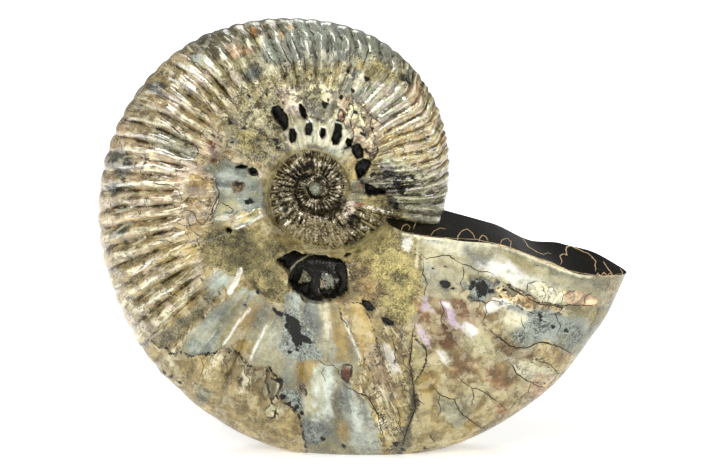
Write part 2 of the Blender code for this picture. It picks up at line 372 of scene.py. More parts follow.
def closed_turn(name, angle_stops, reach_bands, end_reaches):
    """A length of coil as one closed shell, with twice as many columns and rows on the shown side."""
    pieces = []
    for side in (-1, 1):
        angles = with_middles(angle_stops) if side < 0 else angle_stops
        for number, band in enumerate(reach_bands):
            reaches = with_middles(band) if side < 0 else band
            outermost = number == len(reach_bands) - 1
            columns = with_middles(angles) if outermost and number else angles
            piece = flank_grid("flank", columns, reaches, side)
            if not outermost:
                halve_edges(piece, "reach", reaches[-1])
            if side > 0:
                halve_edges(piece, "angle", angles[0])
                halve_edges(piece, "angle", angles[-1])
                if not number:
                    halve_edges(piece, "reach", reaches[0])
                if outermost:
                    halve_edges(piece, "reach", reaches[-1])
            pieces.append(piece)
    angles = with_middles(angle_stops)
    reaches = np.unique(np.concatenate([with_middles(band) for band in reach_bands]))
    pieces.append(wall_grid("foot", angles, np.full(len(angles), reach_bands[0][0]), 1))
    if reach_bands[-1][-1] < 1:
        outer = with_middles(angles) if len(reach_bands) > 1 else angles
        pieces.append(wall_grid("top", outer, np.full(len(outer), reach_bands[-1][-1]), 1))
    for place, rows in ((angles[0], 1), (angles[-1], end_reaches)):
        end = wall_grid("end", np.full(len(reaches), place), reaches, rows)
        join_rim(end, reaches[0])
        pieces.append(end)
    for piece in pieces:
        wind(piece)
    return joined(pieces, name)


def last_turn():
    """The last turn, from its hidden start to the sawn end."""
    angles = even_angles(START_ANGLE, SAW_ANGLE, FAR_COLUMNS)
    inside = np.concatenate([FOOT_REACHES, even_reaches(0.235, BAND_REACH, FAR_ROWS[0])])
    return closed_turn("outer_turn", angles, (inside, even_reaches(BAND_REACH, 1.0, FAR_ROWS[1])), CUT_ROWS)


def inner_turns():
    """The turns seen in the sunken centre, on both sides."""
    angles = np.linspace(INNER_START, LAST_TURN + 3, INNER_COLUMNS // 2 + 1)
    return closed_turn("inner_turns", angles, (even_reaches(*INNER_REACHES, INNER_ROWS),), 1)


def colour(*eye_values):
    """A colour given as the eye sees it, 0 to 255, for the shaders' linear scale."""
    share = np.array(eye_values, float) / 255
    return np.where(share > 0.04045, ((share + 0.055) / 1.055) ** 2.4, share / 12.92)


# Colours of the shell and its minerals
TAN = colour(152, 134, 88)
PINK_TAN = colour(164, 142, 108)
BROWN = colour(142, 118, 76)
DEEP_BROWN = colour(96, 74, 40)
OLIVE_BROWN = colour(128, 120, 88)
OLIVE = colour(146, 134, 88)
DARK_OLIVE = colour(112, 102, 60)
YELLOW_OLIVE = colour(168, 155, 96)
GREY_GREEN = colour(146, 144, 116)
BLUE_GREY = colour(140, 146, 132)
SLATE = colour(86, 92, 90)
PALE_BLUE = colour(196, 206, 190)
ICE = colour(214, 222, 206)
CREAM = colour(200, 192, 150)
PALE_CREAM = colour(230, 224, 190)
WHITE = colour(246, 244, 232)
GOLD = colour(170, 150, 92)
AMBER = colour(180, 151, 76)
ORANGE = colour(172, 118, 62)
RUST = colour(122, 66, 26)
PEACH = colour(214, 180, 138)
PINK = colour(200, 180, 158)
VIOLET = colour(206, 178, 214)
BLACK = colour(26, 24, 16)
WALL_TAN = colour(142, 126, 78)
LINE_TAN = colour(176, 142, 92)
LINE_CREAM = colour(226, 198, 150)
PEARLY_GREEN = colour(196, 214, 176)
METAL_BROWN = colour(62, 46, 18)
METAL_SILVER = colour(240, 232, 206)
UMBILICUS_BROWN = colour(116, 104, 70)

# The shell's own colour by growth angle
SHELL_COLOURS = (
    (-15, GREY_GREEN), (2, OLIVE_BROWN), (14, GREY_GREEN), (24, GOLD), (40, TAN), (55, GREY_GREEN),
    (66, BLUE_GREY), (84, BLUE_GREY), (100, OLIVE_BROWN), (118, OLIVE_BROWN), (132, TAN), (170, PINK_TAN),
    (205, TAN), (240, TAN), (290, TAN), (325, TAN), (345, GREY_GREEN),
)

# one finish sets painted shade in the rib grooves, with streaks and worn crests
FINISHES = ("grain", "milk", "crazed", "crumbs", "dark", "shine", "curls", "groove", "soot", "rim", "lines")


def outline(text):
    """Places in the photograph's frame, written as x,y x,y and so on."""
    return np.array([[float(number) for number in place.split(",")] for place in text.split()])


class Skin:
    """A piece's vertices, with the colour, finishes and height that are laid on them."""

    def __init__(self, piece):
        self.piece = piece
        self.angle = read_value(piece, "angle")
        self.reach = read_value(piece, "reach")
        self.side = read_value(piece, "side")
        self.points = read_points(piece)
        self.size = spiral_radius(self.angle)
        towards = np.where(self.side < 0, -1.0, 1.0)
        self.normal = shell_normal(self.angle, self.reach, towards)
        self.shown, facing = self.seen_at(self.points, self.normal)
        self.seen = smooth_step(facing, *SEEN_FACING)
        self.far, _ = self.seen_at(turned_over(self.points), self.normal)
        # how far outlines wander, in large and in small waves
        self.swirl = [noise(self.points, 0.0022, seed, 2) for seed in (11, 12)]
        self.ripple = [noise(self.points, 0.0007, seed, 2) for seed in (13, 14)]
        self.tint = along(SHELL_COLOURS, self.angle)
        self.height = np.zeros(len(self.points))
        self.sunk = np.zeros(len(self.points))
        for name in FINISHES:
            setattr(self, name, np.zeros(len(self.points)))

    @staticmethod
    def seen_at(points, normal):
        """Where points lie in the photograph's frame, and how squarely the shell faces the camera there."""
        ray = points - EYE
        scale = CAMERA_DISTANCE * PIXELS_PER_METRE / (ray @ AHEAD)
        place = np.stack([PICTURE[0] / 2 + ray[:, 0] * scale, PICTURE[1] / 2 - (ray @ UP) * scale], axis=1)
        facing = -(ray * normal).sum(axis=1) / np.linalg.norm(ray, axis=1)
        return place, facing

    def distance(self, places, chosen, shape, closed, wobble):
        """How far inside an outline, or how near a line, the chosen vertices are, in pixels."""
        place = places[chosen]
        warp = np.stack([field[chosen] for field in self.swirl], axis=1)
        fine = np.stack([field[chosen] for field in self.ripple], axis=1)
        place = place + wobble * (warp + 0.6 * fine)
        nearest = np.full(len(place), 1e9)
        inside = np.zeros(len(place), bool)
        ends = np.roll(shape, -1, axis=0) if closed else shape[1:]
        for start, end in zip(shape, ends):
            step = end - start
            offset = place - start
            share = np.clip(offset @ step / max(step @ step, 1e-9), 0, 1)
            nearest = np.minimum(nearest, ((offset - share[:, None] * step) ** 2).sum(axis=1))
            if closed:
                crosses = (start[1] > place[:, 1]) != (end[1] > place[:, 1])
                across = start[0] + (place[:, 1] - start[1]) * step[0] / (step[1] or 1e-9)
                inside ^= crosses & (place[:, 0] < across)
        nearest = np.sqrt(nearest)
        return np.where(inside, nearest, -nearest)

    def cover(self, shape, closed=True, soft=1.2, wobble=1.5, width=0.0, far=1.0, rim=0.0):
        """How much each vertex is covered by a patch or, where it isn't closed, a line of that width."""
        total = np.zeros(len(self.points))
        margin = max(soft, RIM_WIDTH * rim) + 3 * wobble + width
        low, high = shape.min(axis=0) - margin, shape.max(axis=0) + margin
        for places, share in ((self.shown, self.seen), (self.far, (1 - self.seen) * far)):
            chosen = (share > 0.001) & (places > low).all(axis=1) & (places < high).all(axis=1)
            if chosen.any():
                inside = self.distance(places, chosen, shape, closed, wobble) + width / 2
                total[chosen] += smooth_step(inside, -soft, soft) * share[chosen]
                if rim:
                    near = rim * (1 - np.abs(inside) / RIM_WIDTH) * (share[chosen] > 0.5)
                    self.rim[chosen] = np.maximum(self.rim[chosen], near)
        return total

    def lay(self, weight, tint=None, raised=0.0, **finishes):
        """Lays colour and finishes on by weight. raised is in millimetres."""
        if tint is not None:
            self.tint += (tint - self.tint) * weight[:, None]
        for name, value in finishes.items():
            field = getattr(self, name)
            field += (value - field) * weight
        self.height += raised * MILLIMETRE * weight

    def finish(self):
        """Moves the vertices to their height and stores the colours and finishes on the mesh."""
        inwards = np.stack([np.zeros(len(self.side)), -np.sign(self.side), np.zeros(len(self.side))], axis=1)
        moved = self.points + self.normal * self.height[:, None] + inwards * self.sunk[:, None]
        write_points(self.piece, np.clip(moved, (CAD_LOW.x, CAD_LOW.y, -1), CAD_HIGH))
        write_colour(self.piece, "tint", self.tint)
        for name in FINISHES:
            write_value(self.piece, name, getattr(self, name))


FAR_TURN = -34  # how much further round the coil the far side's markings lie


def turned_over(points, degrees=FAR_TURN):
    """Mirrors points to the other side and moves them along the coil."""
    across, sideways, up = (points - COIL_CENTRE).T
    growth = EXPANSION ** (degrees / 360)
    turn = math.radians(degrees)
    moved_across = (across * math.cos(turn) - up * math.sin(turn)) * growth
    moved_up = (across * math.sin(turn) + up * math.cos(turn)) * growth
    return np.stack([moved_across, -sideways, moved_up], axis=-1) + COIL_CENTRE


def crest(turns):
    """A rounded rib with a narrow trough, from -1 to 1."""
    return 2 * np.abs(np.cos(np.pi * turns)) ** 0.85 - 1


def raise_ribs(skin):
    """Main ribs with a short one between each two, as on the solid."""
    # on the right the ribs lean back, and thin lines run beside them
    drift = 0.05 * noise(skin.points, 0.006, 21)
    right = smooth_step(skin.angle, -14, -4) * (1 - smooth_step(skin.angle, 46, 60))
    swept = SWEEP * smooth_step(skin.angle, 0, 30) * (1 - smooth_step(skin.angle, 60, 100))
    swept *= np.maximum(0, SWEEP_REACH - skin.reach)
    write_value(skin.piece, "angle", skin.angle - swept)
    turns = (skin.angle - swept - SAW_ANGLE) / RIB_PITCH + drift

    # how high they stand: the short ones only on the outer part, and all fade towards the sawn end
    main, every = crest(turns / 2), crest(turns)
    short = smooth_step(skin.reach, *SHORT_RIBS) * (1 - smooth_step(skin.angle, 215, 240))
    edge = smooth_step(skin.angle, 225, 260)
    middle = smooth_step(skin.angle, 262, 300)
    fade = middle + (edge - middle) * smooth_step(skin.reach, 0.80, 0.90)
    inner = smooth_step(skin.reach, 0.23, 0.36)
    strength = inner + (along(LAST_RIB_STRENGTH, skin.reach) - inner) * smooth_step(skin.angle, -30, 20)
    ribs = strength * (main + (every - main) * short) * (1 - fade)
    bolder = 1 + (along(RIB_BOLDNESS, skin.angle) - 1) * (1 - smooth_step(skin.reach, 0.88, 0.97))
    uneven = 1 + 0.3 * noise(skin.points, 0.004, 22)
    skin.height += RIB_RELIEF * skin.size * ribs * bolder * uneven

    # beads on the inner turns' ribs, a faint unevenness all over, and fine ribs on the right
    beads = np.cos(2 * np.pi * (skin.reach - 0.30) / BEAD_SPACING) + 0.5 * noise(skin.points, 0.0016, 23, 2)
    inner_turns_only = 1 - smooth_step(skin.angle, -40, -20)
    skin.height += BEAD_RELIEF * skin.size * inner_turns_only * np.maximum(main, 0) * beads * inner
    skin.height += 0.00005 * noise(skin.points, 0.0013, 24, 2) * (1 - fade)
    fine_ribs = smooth_step(skin.reach, 0.45, 0.6) * (1 - smooth_step(skin.angle, 42, 56))
    fine_ribs *= smooth_step(skin.angle, -14, -4) * crest(turns * 2 + 0.3 * noise(skin.points, 0.005, 25))
    skin.height += FINE_RIB_RELIEF * skin.size * fine_ribs

    # where the grooves take painted shade and the crests are worn
    skin.groove = ribs * (1 + 0.25 * right)
    skin.lines = right * smooth_step(skin.reach, 0.35, 0.5)
    skin.groove += inner_turns_only * (0.3 * (beads - 1) - 0.25 * ribs)


MATRIX = dict(grain=1, milk=0, shine=0, crazed=0, curls=0, groove=0, dark=0)
SANDY = dict(grain=0.75, milk=0, shine=0.1, curls=0, dark=0)
NACRE = dict(grain=0, milk=1, crazed=0, curls=0, dark=0, shine=0.2)
CURLED = dict(grain=0, milk=1, crazed=0, curls=1, dark=0.1)
SHELL = dict(grain=0, milk=0, curls=0, dark=0)
PLATES = dict(grain=0, milk=0.2, curls=0, crazed=1, dark=0)
PEARL = dict(grain=0, milk=0.6, curls=0, crazed=0, dark=0, shine=1)

# Patches in the order they are laid: name, colour, finishes, softness, wobble, raised in millimetres, outline
PATCHES = (
    # the left and the top
    ("left ribs", None, dict(shine=0.6, crazed=0.15, soot=0.75), 1.0, 2.0, 0.22,
     "60,100 60,360 150,345 160,333 176,318 190,300 196,285 206,272 200,258 201,240"
     " 205,226 213,215 219,198 217,180 215,172 207,165 214,158 220,148 222,136"
     " 212,128 220,116 228,104 238,92 248,78 240,66 228,50 215,30 120,20"),
    ("silver rib ends", GREY_GREEN, dict(grain=0.55, shine=0.6), 4, 2.5, 0,
     "156,128 170,134 182,134 192,144 200,150 196,160 186,162 172,158 160,152 150,142"),
    ("lobed shell", colour(162, 136, 92), dict(crazed=0.2, crumbs=0.5, groove=0, soot=0.5), 2, 2, 0.1,
     "196,172 208,170 216,175 218,185 218,197 215,208 210,218"
     " 203,225 194,227 188,216 192,204 188,190 192,180"),
    ("rust", RUST * 0.65, SHELL, 1.5, 1.5, 0,
     "208,142 215,140 219,143 216,149 218,156 214,162 210,162 212,155 210,149"),
    ("blue edge", SLATE * 0.6, dict(shine=0.7), 2, 2, 0, "148,84 160,82 170,88 160,92 150,92"),
    ("blue edge two", SLATE * 0.5, dict(shine=0.7, soot=0.2), 3, 3, 0,
     "111,152 122,150 130,156 135,164 130,174 122,177 113,172 110,162"),
    ("blue edge three", SLATE * 0.45, dict(shine=0.7, soot=0.2), 2, 3, 0,
     "106,184 118,182 132,184 128,192 112,194"),
    ("blue edge four", SLATE * 0.45, dict(shine=0.7, soot=0.2), 2, 2, 0,
     "110,240 114,230 122,224 134,221 128,231 118,239"),
    ("top venter", OLIVE_BROWN * 0.5, dict(shine=0.3, soot=0.7), 5, 4, 0,
     "186,48 204,30 234,18 262,16 290,14 300,22 290,34 270,36 258,44 246,54 232,58 216,56 200,60"),
    ("top peach", PEACH * 0.75, SHELL, 2, 2, 0,
     "226,46 232,43 242,45 252,46 254,53 246,56 240,54 232,57 226,53"),
    ("top white", ICE, PEARL, 2, 2, 0, "190,55 200,54 212,60 212,66 202,65 192,62"),
    ("top blue ribs", BLUE_GREY * 0.9, dict(grain=0.3, milk=0.5, shine=0.4, soot=1), 5, 4, 0,
     "258,38 276,30 300,18 330,16 354,22 374,30 396,44 408,60"
     " 398,68 380,58 358,50 336,52 312,54 296,60 280,66 264,60"),
    ("dark blue", SLATE * 0.9, dict(milk=0.6, curls=0.4, dark=0.3, grain=0.3), 5, 4, 0,
     "245,68 254,64 262,70 263,78 254,83 246,79"),
    ("white nacre", PALE_CREAM * 0.9, dict(milk=0.6, crumbs=0.5), 4, 4, 0,
     "263,68 270,64 276,67 278,76 271,81 264,77"),
    ("cream spot", CREAM, SHELL, 1.5, 1, 0, "255,38 260,37 262,42 260,47 256,45"),
    ("orange spot", ORANGE, SHELL, 2, 1, 0, "250,29 256,28 257,34 252,36"),
    ("peach spot", PEACH * 0.8, SHELL, 2, 1, 0, "288,24 293,23 294,29 289,31"),
    ("tan spot", PEACH * 0.7, SHELL, 2, 1, 0, "278,31 283,30 284,38 280,41"),
    # between the ribs and the umbilicus, above
    ("upper left speckle", OLIVE_BROWN * 1.35, dict(grain=0.5, crumbs=1, milk=0, shine=0.2), 5, 3, -0.05,
     "222,118 236,106 256,104 270,110 284,128 288,146 282,160 270,166 258,160 244,158 236,148 226,140"),
    ("upper speckle", OLIVE_BROWN * 1.5, dict(grain=0.5, crumbs=1, milk=0, shine=0.2), 6, 3, -0.05,
     "236,94 248,84 262,78 280,70 300,66 322,64 342,62 364,72 354,84"
     " 338,92 322,90 305,94 290,98 275,102 262,108 248,110 238,104"),
    ("pale cloud", CREAM * 0.9, dict(milk=0.6, grain=0.3), 7, 5, 0,
     "240,112 252,106 262,112 262,124 252,132 242,124"),
    ("yellow cloud", OLIVE * 1.05, SANDY, 4, 2, 0, "236,130 250,128 262,136 262,150 250,154 240,148"),
    ("pink facets", PINK * 0.85, dict(crumbs=0.8, grain=0, milk=0.2, shine=0.6), 5, 4, 0,
     "276,92 286,86 296,88 304,100 306,112 300,116 288,112 280,104"),
    ("pink white", PALE_CREAM * 0.85, dict(crumbs=0.7, grain=0, milk=0.3, shine=0.6), 5, 4, 0,
     "313,86 322,83 332,90 338,100 330,104 320,100 314,94"),
    ("facets between", CREAM * 0.8,
     dict(crumbs=0.9, crazed=0.5, milk=0.4, grain=0.05, soot=0.1, shine=0.5), 4, 4, 0,
     "292,96 306,90 326,88 342,92 346,104 342,120 326,122 310,119 298,114"),
    ("olive above", OLIVE * 0.9, dict(grain=0.55, soot=0.9, milk=0), 6, 5, 0,
     "346,62 370,56 392,62 404,72 398,83 380,80 362,83 350,78"),
    ("cream bosses", PALE_CREAM * 0.92, NACRE, 3, 2, 0.35,
     "284,146 290,128 298,120 310,119 322,121 334,121 346,128"
     " 352,136 350,146 342,149 330,147 318,145 304,146 294,150"),
    ("broken facets", PINK_TAN, dict(grain=0, milk=0.1, crazed=0.6, crumbs=0.9, shine=0.4), 4, 4, 0,
     "340,96 352,92 362,102 372,112 382,124 386,136 378,146 368,152 356,144 348,132 340,118"),
    ("broken cream", CREAM, dict(grain=0, milk=0.2, crazed=0.5, crumbs=0.6, shine=0.4), 4, 3, 0,
     "350,104 360,106 366,118 362,130 354,126 348,114"),
    ("rust wedge", RUST * 0.8, SHELL, 1.5, 1.5, 0, "339,109 344,111 345,121 342,122 339,116"),
    ("red wedge", RUST * 0.6, SHELL, 1.5, 1.5, 0, "369,151 378,148 379,153 371,160"),
    # the right side
    ("right ribs", colour(190, 162, 96) * 0.75, dict(shine=0.7, soot=0.8), 4, 3, 0,
     "380,124 392,116 408,104 424,98 440,112 452,140 452,170 440,176 420,168 402,162 388,152 382,140"),
    ("low right ribs", GREY_GREEN * 1.5, dict(shine=0.75, soot=0.85), 5, 4, 0,
     "384,150 400,160 420,166 440,172 452,170 452,205 440,222 420,216 400,206 388,196 382,176"),
    ("fine rainbow ribs", GREY_GREEN * 0.9, dict(shine=1, soot=0.3), 2, 2, 0.05,
     "364,88 376,83 394,86 404,96 410,104 398,113 388,121 380,123 372,112 364,100"),
    ("white corner", PALE_CREAM, NACRE, 3, 2, 0, "343,78 352,72 362,70 367,78 360,88 352,95 344,92"),
    ("orange brown", PEACH * 0.55, SHELL, 3, 3, 0, "408,86 414,79 421,82 426,94 422,104 412,105 405,98"),
    ("gold edge", GOLD * 0.9, SHELL, 3, 3, 0, "424,92 432,96 444,122 446,134 436,130 428,116 422,104"),
    ("black patch", BLACK, dict(dark=0.5, curls=0.5, milk=1), 4, 5, 0,
     "398,74 405,71 412,74 414,84 409,88 401,84"),
    ("dark edge", OLIVE_BROWN * 0.5, dict(soot=1), 4, 4, 0,
     "392,46 404,54 420,72 430,88 424,90 410,76 396,60"),
    ("dark beside the coil", OLIVE_BROWN * 0.5, dict(dark=0.5, grain=0.4, soot=1), 7, 6, -0.2,
     "374,166 384,164 400,170 414,176 412,190 396,194 380,192 372,180"),
    ("olive by the start", YELLOW_OLIVE, MATRIX, 4, 2, 0, "364,198 376,192 390,194 392,204 380,214 366,214"),
    ("matrix by the start", OLIVE, MATRIX, 4, 3, 0,
     "344,214 356,206 372,196 396,200 402,212 398,226 388,232 372,241 352,248 338,247 346,236 352,226"),
    ("grey blob", SLATE * 0.8, dict(grain=0.5, dark=0.3), 3, 3, 0, "386,198 394,196 400,202 398,209 390,209"),
    ("black beside the coil", BLACK, dict(dark=0.56, grain=0.5), 4, 5, -0.3,
     "356,172 366,174 374,186 388,188 404,180 410,186 398,194 386,198 370,197 360,190"),
    # left of the umbilicus
    ("grey nacre", BLUE_GREY * 0.9, NACRE, 2.5, 2, -0.15,
     "203,166 216,164 228,160 240,163 255,168 262,180 264,196 266,212 258,216"
     " 244,208 232,216 222,226 212,222 214,212 218,200 216,190 216,176 206,172"),
    ("blue nacre", PALE_BLUE * 0.75, NACRE, 3, 2, 0,
     "217,172 230,168 240,176 236,188 228,196 220,194 217,184"),
    ("green nacre", CREAM * 0.75, NACRE, 3, 2, 0, "214,212 222,202 234,200 244,206 236,214 226,224 216,222"),
    ("brown freckles", BROWN * 0.8, dict(grain=0.8), 2, 2, 0, "232,182 238,179 244,185 242,193 234,193"),
    ("small hollow", BLACK, dict(dark=0.8), 1.5, 1.5, -0.2, "245,199 250,197 255,200 252,204 246,203"),
    ("pearl bump", CREAM, PEARL, 2, 1.5, 0.3,
     "231,227 240,216 252,210 264,208 269,212 258,219 246,227 236,231"),
    # the matrix under the coil
    ("lower left matrix", OLIVE * 0.72, MATRIX, 3, 3, -0.1,
     "203,262 204,244 208,230 222,228 246,226 262,233 274,243 296,249 277,262 283,276"
     " 290,288 288,302 276,304 262,296 252,288 243,272 232,277 222,268 212,266"),
    ("dark olive", DARK_OLIVE * 0.7, MATRIX, 9, 5, 0, "232,240 250,240 262,252 258,262 240,262 230,252"),
    ("lower right matrix", OLIVE * 1.05, MATRIX, 3, 3, -0.1,
     "345,252 352,248 368,240 385,228 398,224 402,238 420,240 424,262 424,285 420,300"
     " 412,314 400,327 392,322 380,314 366,302 352,299 346,292 348,275 345,262"),
    ("golden matrix", YELLOW_OLIVE * 0.9, MATRIX, 10, 5, 0,
     "372,252 396,246 410,262 406,284 388,288 372,276"),
    ("brown matrix", BROWN * 0.9, MATRIX, 9, 5, 0, "350,262 366,262 370,280 384,292 376,304 356,296"),
    ("yellow-green matrix", YELLOW_OLIVE * 0.95, MATRIX, 8, 5, 0,
     "400,286 414,280 420,296 410,312 398,322 394,306"),
    ("speckled rib", OLIVE_BROWN, SANDY, 3, 2, -0.05,
     "148,344 160,334 178,320 196,306 205,296 214,286 222,280"
     " 228,288 216,300 202,316 186,330 170,344 158,350"),
    # nacre below, on the left
    ("lower left nacre", CREAM * 0.54, NACRE, 2, 2, -0.12,
     "182,346 186,334 200,321 214,308 228,298 243,288 254,290 262,298 276,306 283,320 284,336 290,352"
     " 286,366 282,378 270,370 262,366 250,366 246,360 236,352 228,350 216,355 204,356 190,358"),
    ("blue cloud", BLUE_GREY * 0.8, dict(milk=1, curls=0.7), 7, 4, 0,
     "184,344 190,334 200,336 200,346 192,352"),
    ("olive cloud", YELLOW_OLIVE * 0.7, NACRE, 8, 4, 0, "204,344 214,330 228,322 236,330 226,344 212,350"),
    ("blue grey cloud", BLUE_GREY * 0.8, dict(curls=0.3, milk=1), 8, 4, 0,
     "200,324 214,312 226,306 230,314 216,326 206,332"),
    ("pale cloud two", PALE_BLUE * 0.7, NACRE, 6, 4, 0, "206,280 216,270 226,272 230,284 218,292 208,292"),
    ("gold cloud", AMBER * 0.7, NACRE, 7, 4, 0, "236,318 246,302 256,302 262,316 252,330 240,332"),
    ("olive dark cloud", OLIVE_BROWN * 0.6, dict(curls=0.5, milk=1), 7, 4, 0,
     "252,312 262,304 270,318 264,334 254,330"),
    ("amber plate", AMBER * 0.6, SHELL, 4, 3, 0, "232,346 240,336 250,340 254,352 246,358 236,352"),
    ("green stripe", CREAM * 0.7, NACRE, 6, 3, 0, "258,344 264,322 274,320 278,336 274,356 264,362"),
    # nacre below, in the middle
    ("lower nacre", CREAM * 0.52, NACRE, 2, 2, -0.12,
     "284,296 296,286 303,300 318,302 340,303 346,330 354,345 361,361 358,373"
     " 346,369 342,378 352,388 364,398 374,420 380,440 382,462 300,462 305,436"
     " 301,420 298,400 286,388 281,378 286,366 290,352 284,338"),
    ("ice top", ICE * 0.75, NACRE, 5, 4, 0, "285,298 298,290 308,302 312,318 306,326 296,318 288,314"),
    ("blue stripe", BLUE_GREY * 0.7, dict(curls=0.3, milk=1), 7, 4, 0,
     "306,304 320,303 322,322 320,336 308,336 304,320"),
    # pale crest of a fold: painted highlight over cream nacre
    ("cream stripe", PALE_CREAM, NACRE, 3, 2, 0.1, "321,304 328,302 332,318 333,336 326,340 322,326"),
    ("green cream", AMBER * 0.85, NACRE, 7, 3, 0, "328,306 336,306 348,340 350,360 340,362 332,344"),
    ("yellow nacre", AMBER * 0.92, dict(milk=0.35, shine=0.35, curls=0, grain=0), 2.5, 1.5, 0.05,
     "338,303 350,302 363,305 374,328 379,348 368,357 361,360 358,346 350,330 342,318"),
    ("curled blue", BLUE_GREY * 0.7, CURLED, 7, 5, 0,
     "276,346 286,338 300,350 316,340 322,350 314,360 298,362 284,358"),
    ("tan wedge", AMBER * 0.75, dict(milk=0.6), 4, 2, 0, "298,362 312,358 320,364 311,374 305,388 298,381"),
    # pale crest of a fold: painted highlight over ice nacre
    ("ice stripe", ICE * 0.95, NACRE, 5, 4, 0.1, "314,368 326,362 334,370 332,400 331,438 315,438 313,400"),
    ("dark blue stripe", SLATE * 0.7, dict(curls=0.4, milk=1), 8, 5, 0,
     "315,420 324,414 336,424 342,438 330,446 318,442"),
    ("cream edge", CREAM * 0.9, NACRE, 4, 3, 0, "304,388 312,384 314,420 316,448 308,450 306,424"),
    ("dark curls", SLATE * 0.7, CURLED, 4, 3, 0, "281,388 290,386 300,396 305,412 298,412 288,402"),
    ("curls in the middle", SLATE * 1.1, dict(curls=0.6, milk=1), 7, 5, 0,
     "334,386 346,384 352,396 348,412 338,410"),
    ("pale stripe", PALE_CREAM * 0.8, NACRE, 7, 4, 0, "350,386 360,390 366,406 370,438 358,446 352,420"),
    ("ice cloud", ICE * 0.8, dict(milk=1, curls=0.6), 6, 4, 0, "352,410 362,414 368,436 362,450 350,440"),
    # the folds' dark troughs and pale ridge: painted shade and a painted highlight over blue and ice nacre
    ("trough", SLATE * 0.5, dict(milk=1, curls=0.5), 4, 4, -0.05, "299,303 308,303 316,318 312,328 303,318"),
    ("trough two", SLATE * 0.45, dict(milk=1, curls=0.6), 4, 4, -0.05,
     "302,420 310,414 320,428 321,446 306,446"),
    ("trough three", OLIVE_BROWN * 0.5, dict(milk=0.9, curls=0.4), 4, 4, -0.05,
     "333,394 342,390 345,418 343,440 336,440"),
    ("pale ridge", ICE, NACRE, 3, 3, 0.1, "345,390 352,388 360,410 362,430 355,428 350,408"),
    ("olive spot", AMBER * 0.6, dict(milk=0.8), 4, 3, 0, "336,430 344,423 350,431 347,441 338,440"),
    ("rust spot", RUST * 0.5, SHELL, 1.2, 1, 0, "341,367 346,365 352,366 351,376 347,381 342,377"),
    ("small rust spot", RUST * 0.5, SHELL, 1.2, 1, 0, "300,386 304,385 307,394 304,396 300,391"),
    # the brown shell below
    ("low brown shell", TAN, dict(grain=0.1, milk=0, curls=0, crazed=0.35, soot=0.3), 0.8, 1.2, 0.3,
     "60,340 146,343 153,340 160,346 172,352 181,350 190,355 198,356 207,354 214,353"
     " 224,349 230,348 236,352 242,358 248,362 256,367 262,369 270,368 275,374 282,380"
     " 282,386 278,394 280,398 290,404 298,414 303,430 306,446 308,470 60,470"),
    ("dark fold", DEEP_BROWN, SHELL, 2, 1, -0.1, "238,378 243,372 249,376 246,388 240,388"),
    ("olive plate", OLIVE_BROWN, SHELL, 0.8, 0.8, 0.1, "267,380 272,377 282,382 278,392 272,399 268,389"),
    ("loose flake", CREAM, SHELL, 0.8, 0.8, 0.25, "264,408 272,402 277,406 275,416 268,416"),
    ("grey spot", GREY_GREEN * 0.7, SANDY, 4, 3, 0, "196,388 206,382 214,392 208,402 198,402"),
    # the streaky shell under the matrix
    ("streaky shell", TAN * 0.95, dict(grain=0.15, crazed=0.5, milk=0, soot=0.7), 3, 3, 0,
     "364,358 374,352 380,340 384,322 396,326 408,330 412,350 414,380 416,408"
     " 408,430 402,452 384,456 378,436 374,418 366,398 356,386 360,372"),
    ("brown wedge", PINK_TAN * 0.85, SHELL, 2, 2, 0, "366,360 378,352 392,370 398,392 388,400 374,386"),
    ("cream blob", PALE_CREAM, SHELL, 3, 2, 0, "377,420 384,417 388,424 384,431 378,429"),
    ("silver streak", WHITE * 0.8, PEARL, 3, 2, 0, "382,346 388,344 396,362 400,374 394,372 386,358"),
    # under the sawn end
    ("nacre under the cut", CREAM * 0.85, NACRE, 2.5, 2, 0,
     "421,234 440,236 456,238 477,238 500,246 512,254 530,264 556,274 588,280"
     " 606,290 614,300 600,306 580,304 552,304 536,301 524,293 510,283 496,275"
     " 480,272 466,280 462,290 455,298 440,300 428,296 424,286 424,262"),
    ("cream band", PALE_CREAM * 0.85, NACRE, 2, 2, 0,
     "424,240 456,241 480,243 500,250 508,258 490,262 462,258 440,252"),
    ("grey cloud", BLUE_GREY * 0.7, dict(curls=0.2, milk=1), 8, 4, 0,
     "462,246 478,246 488,256 490,268 476,270 466,262"),
    ("peach cloud", CREAM * 0.75, dict(milk=0.5), 8, 4, 0, "426,266 448,262 458,272 448,284 430,282"),
    # white pearly patch, partly a painted highlight
    ("bright pearl", WHITE, PEARL, 6, 4, 0,
     "482,263 500,259 518,267 537,279 530,286 513,283 498,276 486,271"),
    ("olive band", YELLOW_OLIVE, dict(milk=0.7), 4, 2, 0,
     "506,256 516,256 534,266 552,275 546,279 530,273 514,265"),
    ("grey end", GREY_GREEN * 0.82, dict(milk=0.8, grain=0.25, curls=0.1), 4, 3, 0,
     "530,262 545,264 572,272 607,277 640,272 622,292 612,312 600,332 588,348"
     " 573,358 565,350 576,334 590,318 606,306 614,300 606,290 588,283 556,277"),
    ("olive end", OLIVE * 0.95, dict(milk=0.5, grain=0.3), 5, 3, 0,
     "570,306 598,306 604,314 592,330 578,330 566,318"),
    ("tan end", TAN, dict(milk=0.2), 4, 2, 0, "606,280 622,282 616,298 606,304"),
    ("cracked cream", PALE_CREAM, dict(crazed=0.6, milk=0.3, crumbs=0.45), 1.5, 1.5, 0,
     "528,286 536,281 548,283 560,289 567,298 558,304 542,302 530,296"),
    ("cracked peach", PEACH, dict(crazed=0.8, milk=0.2, crumbs=0.6), 1.5, 1.5, 0,
     "562,292 576,290 588,293 598,298 596,305 582,307 566,304"),
    ("brown plates", BROWN * 1.1, dict(grain=0, milk=0.1, crazed=0.3, crumbs=0.9), 2, 2, 0,
     "496,288 508,284 520,290 530,297 546,304 562,306 560,314 546,316 532,313 520,309 506,302"),
    ("dark growth", SLATE * 0.3, dict(milk=1, curls=0.6, dark=0.46), 5, 4, -0.05,
     "464,286 473,277 484,277 495,281 499,290 493,298 482,303 472,301 465,295"),
